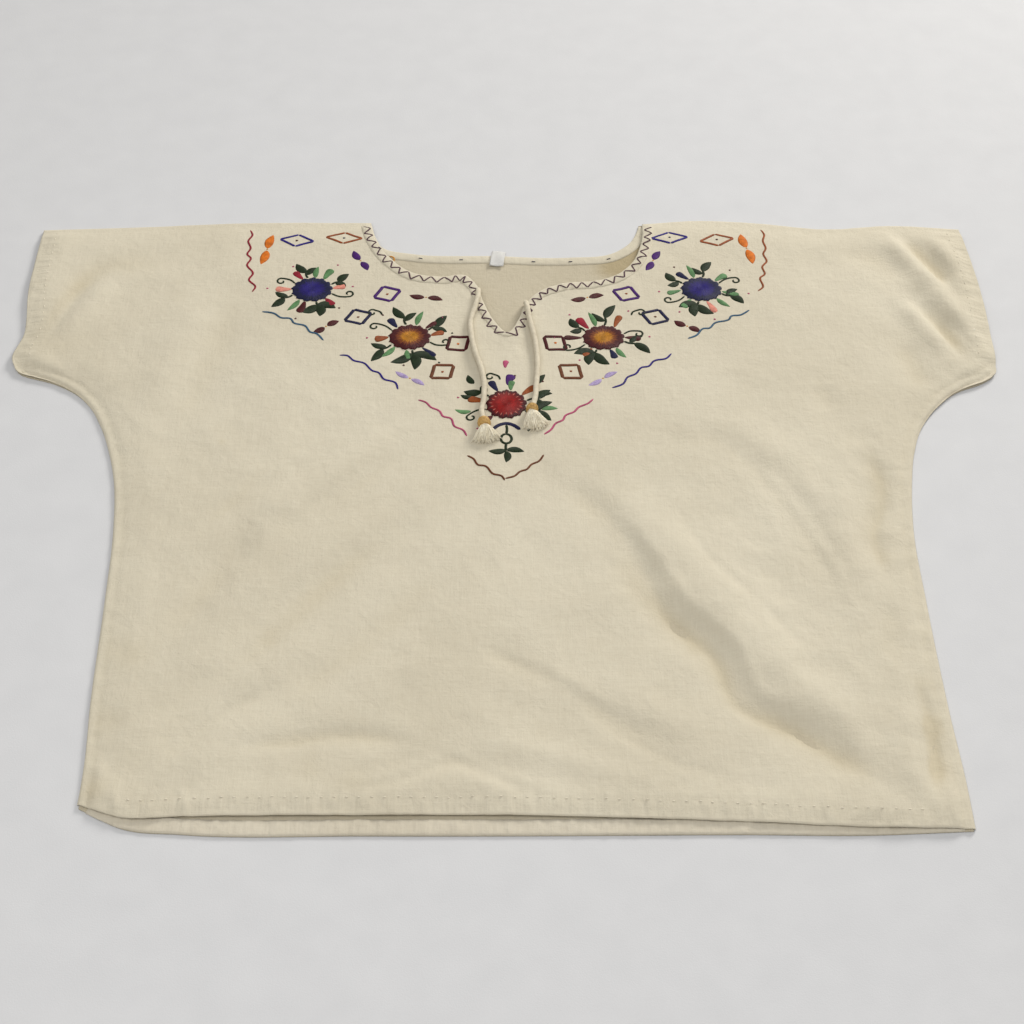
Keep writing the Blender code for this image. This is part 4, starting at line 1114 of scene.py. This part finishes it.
def grow(kind, centre, reach, heading, dice, hand, bud):
    """One growth of a spray, rooted just outside the flower's rim."""
    turn = math.radians(heading)
    rim = np.array([math.cos(turn) * (reach[0] + 0.5), math.sin(turn) * (reach[1] + 0.5)])
    root = np.array(centre) + rim
    size = dice.uniform(0.92, 1.3)
    if kind == "trio":
        stitch("dark_green", bent(root, heading, 4, 0.3), 2)
        knot = np.array(bent(root, heading, 4, 0)[-1])
        for fan, long in ((-66, 17), (0, 16), (60, 18)):
            leaf("dark_green", knot, heading + fan, long * size, 9.0, hand * 2.2)
    elif kind == "twig":
        stitch("dark_green", bent(root, heading, 8 * size, hand), 2)
        for up, fan, long, wide in ((7, 26, 14, 7.8), (4, -52, 11, 6.4)):
            knot = bent(root, heading, up * size, 0)[-1]
            leaf("dark_green", knot, heading + fan * hand, long * size, wide)
    elif kind == "curl":
        curl("dark_green", root, heading, 12 * size, hand)
    elif kind == "leaf":
        leaf("light_green", root, heading, 14 * size, 5.2, hand)
    else:
        petal(bud, root, heading + dice.uniform(-14, 14), 12 * size, dice.uniform(5.4, 7.6))
        tip = bent(root, heading, 17 * size, 0)[-1]
        petal(dice.choice(["dark_green", "maroon", "rose"]), tip, heading, 2.2, 2.2)


for order, (name, centre, wide, tall, hues) in enumerate(FLOWERS):
    dice = random.Random(300 + order)
    hand = -1 if centre[0] > 20 else 1
    growths = SPRAY if name != "middle" else MIDDLE_SPRAY
    for index, kind in enumerate(growths):
        heading = 90 + hand * (360 / len(growths) * (index + 0.5) + dice.uniform(-9, 9))
        if name == "middle" and abs((heading - 90) % 360 - 180) < 26:
            continue
        grow(kind, centre, (wide, tall), heading, dice, hand, BUDS[(index + order) % len(BUDS)])

# Below the middle flower: an arch, a stalk with a ring, and three leaves at the tip
stitch("navy", [(NECK_MIDDLE + off, 58.5 - 0.055 * off ** 2) for off in (-11, -6, 0, 6, 11)], 3.4)
for side in (-1, 1):
    leaf("dark_green", (NECK_MIDDLE, 30), 90 + side * 96, 14, 6)
    wavy_line("brown", [(NECK_MIDDLE + 30 * side, 24), (NECK_MIDDLE, -2)], side, 3, 1.3)
ring = [(NECK_MIDDLE + 4.2 * math.cos(turn), 42 + 5 * math.sin(turn))
        for turn in np.linspace(0.5 * math.pi, 2.6 * math.pi, 15)]
stitch("dark_green", ring, 2.2)
stitch("dark_green", [(NECK_MIDDLE, 57), (NECK_MIDDLE + 0.6, 52), (NECK_MIDDLE, 47)], 2.2)
stitch("dark_green", [(NECK_MIDDLE, 37), (NECK_MIDDLE - 0.4, 33), (NECK_MIDDLE, 29)], 2.2)
leaf("dark_green", (NECK_MIDDLE, 29), 270, 12, 6)
petal("rose", (NECK_MIDDLE - 1, 122), 84, 9, 5)
curl("dark_green", (NECK_MIDDLE - 5, 108), 128, 8, 1)
petal("purple", (NECK_MIDDLE + 1, 102), 74, 13, 8)

# Between the flowers: diamonds, pairs of leaves and wavy lines
for side in (-1, 1):
    def at(x, y):
        return np.array([NECK_MIDDLE + x * side, y])

    def faced(angle):
        return angle if side > 0 else 180 - angle

    diamond("blue_violet" if side < 0 else "rust", at(183, 284), 15, 8, faced(8), "maroon", 2.4)
    diamond("rust" if side < 0 else "blue_violet", at(142, 287), 16, 8, faced(4), "navy", 2.4)
    diamond("purple", at(101, 213), 12, 10, faced(-22), "rust")
    diamond("navy", at(124, 184), 12, 10, faced(-22), "brown")
    diamond("brown", at(52, 118), 12, 10, faced(-40), "rust")
    diamond("maroon", at(40, 152), 12, 10, faced(-40), "orange")
    leaf_pair("orange", at(208, 272), faced(100), 19, 8, "gold")
    leaf_pair("purple", at(126, 256), faced(62), 13, 6.8, "gold")
    leaf_pair("maroon", at(68, 208), faced(12), 13, 6.4, "gold")
    leaf_pair("maroon", at(150, 172), faced(-34), 11, 6.8, "gold")
    leaf_pair("lilac", at(78, 110), faced(34), 13, 5, "gold")
    wavy_line("crimson" if side < 0 else "rust", [at(224, 300), at(214, 216)], 3 * side, 5, 2.0)
    wavy_line("teal", [at(204, 192), at(150, 156)], -3 * side, 4, 1.6)
    wavy_line("blue_violet", [at(136, 138), at(86, 98)], -3 * side, 4, 1.6)
    wavy_line("rose", [at(70, 86), at(30, 46)], -2 * side, 4, 1.6)
    leaf("light_green", at(28, 74), faced(5), 13, 5)
    curl("dark_green", at(104, 186), faced(48), 8, -side)
    leaf("dark_green", at(26, 104), faced(64), 12, 5.6)
    leaf("dark_green", at(27, 90), faced(12), 10, 5)

# A loose loop of thread left inside the back neck
stitch("gold", [(-99, 266), (-95.5, 265), (-94.5, 262), (-97, 260)], 1.3)

for name, colour in THREADS.items():
    if not worked[name].verts:
        continue
    sewn_on("embroidery_" + name, worked[name], thread_finish(name, colour))


# The flower heads: rounds of long and short stitches that run out from the heart, one colour
# into the next, thick enough to stand a little proud of the leaves.
for name, centre, wide, tall, hues in FLOWERS:
    heart, middle, rim = (THREADS[hue] for hue in hues)
    head = Finish("flower_" + name, 0.6)
    run, round_it = head.along_and_round()
    round_it = round_it * 6.2832
    head.shader.inputs["Specular IOR Level"].default_value = 0.25
    threads = (round_it * 61).wave() * 0.5 + (round_it * 97 + run * 9).wave() * 0.5
    jag = (round_it * 23).wave() * 0.035 + (round_it * 41 + 1.3).wave() * 0.045
    heart_ends = 0.38 if name == "middle" else 0.32
    rim_starts = 0.62 if name == "middle" else 0.50
    inner = head.mix((run + jag).between(heart_ends, heart_ends + 0.1),
                     linear(heart, 1.05), linear(middle, 0.9))
    outer = head.mix((run + jag).between(rim_starts, rim_starts + 0.1), inner, linear(rim, 1.05))
    # Painted highlight and shade: the colour is multiplied by grey to white stripes that follow the
    # threads' relief.
    painted_shine_and_shade = head.mix((threads * 0.5 + head.noise(300, 3)).between(0.2, 0.9),
                     (0.45, 0.45, 0.45, 1), (1, 1, 1, 1))
    if name == "middle":
        ticks = ((round_it * 19).wave().between(0.72, 0.9) * run.between(0.56, 0.60)
                 * (1 - run.between(0.66, 0.72)))
        outer = head.mix(ticks * 0.7, outer, linear(THREADS["salmon"]))
    head.paint(head.mix(1.0, outer, painted_shine_and_shade, "MULTIPLY"))
    head.raise_up(threads * 0.5 + head.noise(1200, 2) * 0.4, 0.3 * MM, 0.9)

    def place(share, round_share):
        turn = round_share * 2 * math.pi
        far = np.where(share < 0.86, share / 0.86, (1 - share) / 0.14)
        ragged = 1 + 0.05 * np.sin(13 * turn) + 0.03 * np.sin(29 * turn + 1)
        far = np.maximum(far, 0.01)
        x = (centre[0] + wide * far * ragged * np.cos(turn)) * MM
        y = (centre[1] + tall * far * ragged * np.sin(turn)) * MM
        base = np.array([cloth_at(px, py) for px, py in zip(x, y)])
        crown = 0.25 + 0.85 * np.sqrt(np.clip(1 - far ** 3, 0, 1))
        return np.stack([x, y, base + np.where(share < 0.86, crown, -0.25) * MM], axis=1)

    sewn_on("flower_" + name, sweep(22, 72, place), head)


# The stitching: a mauve zigzag over the neck's edge that holds the casing, small hemming stitches
# well apart along the hem and the mouths, and sparse dark ones inside the back neck.
def sewn_row(bm, line, away, spacing, length, width, seed):
    """A row of small separate stitches beside a line, none quite like the next."""
    dice = random.Random(seed)
    along = lengths_along(line)
    runs = directions(line)
    spot = spacing
    while spot < along[-1] - spacing:
        middle, run = read_at(spot, along, line), read_at(spot, along, runs)
        beside = np.array([-run[1], run[0]]) * (away + dice.uniform(-0.3, 0.3) * MM)
        ends = [middle + beside - run * length / 2, middle + beside + run * length / 2]
        level = [cloth_at(*end) + 0.06 * MM for end in ends]
        points = np.array([[*ends[0], level[0]],
                           [*((ends[0] + ends[1]) / 2), max(level) + 0.12 * MM],
                           [*ends[1], level[1]]])
        gather(bm, tube(smooth_route(points, length / 3), width / 2, 5))
        spot += spacing * dice.uniform(0.9, 1.1)


bm = bmesh.new()
for seed, (line, away) in enumerate([
        (front_hem, HEM_SEWN), (left_mouth, -MOUTH_SEWN), (right_mouth, MOUTH_SEWN)]):
    sewn_row(bm, part_of(line, 0.045, 0.97, 3 * MM), away, 8.6 * MM, 1.8 * MM, 0.6 * MM, 80 + seed)
seams = Finish("sewing_cotton", 0.9)
seams.paint(seams.mix(seams.noise(400, 3), (0.72, 0.67, 0.55, 1), (0.82, 0.77, 0.65, 1)))
seams.raise_up(seams.noise(2000, 2), 0.08 * MM, 0.5)
sewn_on("seam_stitches", bm, seams)

dice = random.Random(90)
along = lengths_along(front_run)
edge_runs = directions(front_run)
corners = []
for number, spot in enumerate(np.arange(2 * MM, along[-1] - 2 * MM, 5.0 * MM)):
    spot = spot + dice.uniform(-0.5, 0.5) * MM
    middle, run = read_at(spot, along, front_run), read_at(spot, along, edge_runs)
    out = (1.2 if number % 2 else 8.2 + dice.uniform(-0.8, 0.8)) * MM
    corners.append((middle + np.array([run[1], -run[0]]) * out) / MM)
for first, last in zip(corners[:-1], corners[1:]):
    stitch("mauve", [first, 0.5 * (first + last), last], 1.35, rise=0.45 * MM)
sewn_on("neck_zigzag", worked["mauve"], thread_finish("zigzag", THREADS["mauve"]))

bm = bmesh.new()
sewn_row(bm, back_run, -6.0 * MM, 34 * MM, 3.2 * MM, 0.8 * MM, 95)
sewn_on("back_neck_stitches", bm, thread_finish("neck_stitches", THREADS["navy"]))


# The drawstring's two free ends: a soft cotton cord of three strands, out of the casing beside
# the slit and down over the yoke. Each end is wound with gold thread and opens into a tassel.
CORD = 4.6 * MM
STRAND_TURN = 22 * MM        # one turn of the cord's strands
TASSEL_STRANDS = 240
STRAND_ROOT = 0.42 * MM      # a tassel strand's radius at its root and at its tip
STRAND_TIP = 0.22 * MM
LEFT_CORD = [
    (-2.1, 20.6), (-2.35, 19.3), (-2.7, 17.5), (-2.6, 15.9), (-2.2, 13.6), (-1.8, 12.1),
    (-1.5, 10.4), (-1.5, 8.5), (-1.65, 6.9), (-1.5, 5.8),
]
RIGHT_CORD = [
    (2.05, 19.1), (2.2, 17.9), (2.45, 16.6), (2.7, 14.8), (2.8, 13.4), (2.8, 11.9),
    (2.7, 10.0), (2.6, 8.5), (2.4, 7.3),
]
# Side, route, where in the slit the cord comes from, cap's radius and length, the tassel's reach
# sideways, along and up in mm, and how far it leans in degrees
ENDS = [
    ("left", LEFT_CORD, (-2.1, 22.2), 5.0, 7.6, 12.5, 15.5, 6.6, 0),
    ("right", RIGHT_CORD, (1.85, 20.5), 4.7, 6.2, 12.0, 18.0, 6.2, 24),
]
cord_cotton = Finish("cord_cotton", 0.9, sheen=0.15, sheen_tint=(1.0, 0.95, 0.85, 1))
run, round_it = cord_cotton.along_and_round()
fibres = (run * 900 + round_it * 6.283 * 5).wave()
cord_tone = fibres * 0.2 + cord_cotton.noise(260, 3)
cord_cotton.paint(cord_cotton.mix(cord_tone.between(0.25, 0.75),
                                  (0.56, 0.50, 0.375, 1), (0.72, 0.66, 0.52, 1)))
cord_cotton.raise_up(fibres * 0.4 + cord_cotton.noise(1100, 2), 0.25 * MM, 0.7)

gold = Finish("gold_thread", 0.55, sheen=0.3, sheen_tint=(1.0, 0.8, 0.45, 1))
gold_tone = gold.noise(500, 3, (1, 1, 5))
gold.paint(gold.mix(gold_tone.between(0.3, 0.7), (0.36, 0.19, 0.045, 1), (0.64, 0.41, 0.13, 1)))
gold.raise_up(gold.noise(2400, 2), 0.1 * MM, 0.5)

yarn = Finish("tassel_yarn", 0.92, sheen=0.2, sheen_tint=(1.0, 0.95, 0.85, 1))
yarn.paint(yarn.mix(yarn.noise(700, 3).between(0.3, 0.7),
                    (0.80, 0.73, 0.57, 1), (0.93, 0.88, 0.73, 1)))
yarn.raise_up(yarn.noise(3000, 2), 0.1 * MM, 0.6)


def highest_round(x, y, spread):
    """The highest cloth within a small distance of each point."""
    turns = np.linspace(0, 2 * math.pi, 9)[:-1]
    around = [(0, 0)] + [(spread * math.cos(turn), spread * math.sin(turn)) for turn in turns]
    return np.array([max(cloth_at(px + dx, py + dy) for dx, dy in around) for px, py in zip(x, y)])


for side, route, source, cap_radius, cap_length, wide, long, high, lean in ENDS:
    flat = smooth_route(np.array(route) * CM, 3 * MM)
    radius = CORD / 2
    level = highest_round(flat[:, 0], flat[:, 1], 0.8 * radius) + 0.45 * MM + radius
    run = flat[-1] - flat[-2]
    run = run / np.linalg.norm(run)
    under_cap = flat[-1] + np.linspace(0, cap_length * MM, 4)[:, None] * run
    cap_level = highest_round(under_cap[:, 0], under_cap[:, 1], cap_radius * MM).max()
    cap_level = cap_level + 0.3 * MM + cap_radius * MM
    to_end = lengths_along(flat)[-1] - lengths_along(flat)
    level = np.maximum(level, cap_level - (to_end * 0.22))
    for _ in range(6):
        smoothed = level.copy()
        smoothed[1:-1] = (level[:-2] + level[1:-1] + level[2:]) / 3
        level = np.maximum(level, smoothed)
    points = np.column_stack([flat, level])
    start = np.array([source[0] * CM, source[1] * CM, 2.4 * MM])
    rise = 0.5 * (start + points[0]) + [0, 0, 2.2 * MM]
    lead = smooth_route(np.array([start, rise, points[0]]), 2 * MM)
    points = smooth_route(np.concatenate([lead[:-1], points]), 2 * MM)
    length = lengths_along(points)[-1]
    fed_out = 0.5 + 0.5 * ease(lengths_along(points) / (7 * MM))
    stranded = tube(points, radius * 0.97 * fed_out, 18, 3, 0.02, length / STRAND_TURN)
    cord = make_piece("drawstring_%s_cord" % side, stranded, cord_cotton)
    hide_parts("drawstring_" + side)
    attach(cord, "root")

    tip = Vector(points[-1])
    forward = Vector((run[0], run[1], 0))
    turn = forward.to_track_quat("Z", "Y").to_matrix().to_4x4()
    wraps = 9
    outline = [(0.0, 0.0)]
    for step in range(wraps * 6 + 1):
        share = step / (wraps * 6)
        body = 0.66 + 0.34 * math.sin(math.pi * (0.12 + 0.72 * share))
        ridge = 0.055 * abs(math.sin(math.pi * wraps * share))
        outline.append((cap_radius * MM * (body + ridge), cap_length * MM * share))
    outline.append((0.0, cap_length * MM))
    bm = bmesh.new()
    verts = [bm.verts.new((across, 0, up)) for across, up in outline]
    edges = [bm.edges.new(pair) for pair in zip(verts[:-1], verts[1:])]
    bmesh.ops.spin(bm, geom=verts + edges, axis=(0, 0, 1), cent=(0, 0, 0), steps=28,
                   angle=2 * math.pi, use_merge=True)
    bmesh.ops.remove_doubles(bm, verts=bm.verts[:], dist=1e-6)
    bmesh.ops.recalc_face_normals(bm, faces=bm.faces[:])
    bmesh.ops.transform(bm, matrix=Matrix.Translation(tip) @ turn, verts=bm.verts[:])
    cap = make_piece("thread_cap_%s_wraps" % side, bm, gold)
    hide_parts("thread_cap_" + side)
    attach(cap, "root")

    dice = random.Random(5 if side == "left" else 6)
    mouth = tip + forward * (cap_length - 0.6) * MM
    leaning = Matrix.Rotation(math.radians(lean), 4, "Z") @ forward
    level_side = Vector((-leaning.y, leaning.x, 0))
    bm = bmesh.new()
    for _ in range(TASSEL_STRANDS):
        spread = dice.uniform(0, 2 * math.pi)
        out = math.sqrt(dice.random())
        reach = dice.uniform(0.82, 1.05)
        across = out * 0.62 * cap_radius * MM
        root = mouth + level_side * (math.cos(spread) * across)
        root = root + Vector((0, 0, math.sin(spread) * across))
        end = mouth + leaning * (long * MM * reach * math.cos(0.75 * out))
        end = end + level_side * (math.cos(spread) * out * wide * MM * reach)
        ground = cloth_at(end.x, end.y) + 0.45 * MM
        end.z = ground + dice.uniform(0, 1) ** 2 * high * 0.8 * MM * (1 - 0.5 * out)
        middle = root.lerp(end, 0.5)
        middle = middle + leaning * dice.uniform(-0.4, 0.8) * MM
        middle = middle + level_side * dice.uniform(-0.8, 0.8) * MM
        middle.z = max(root.z * 0.6 + end.z * 0.4 + math.sin(spread) * out * 1.8 * MM, ground)
        strand_points = smooth_route(np.array([root[:], middle[:], end[:]]), 2.6 * MM)
        taper = np.linspace(STRAND_ROOT, STRAND_TIP, len(strand_points))
        gather(bm, tube(strand_points, taper, 5))
    tassel = make_piece("tassel_%s_strands" % side, bm, yarn)
    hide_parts("tassel_" + side)
    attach(tassel, "root")
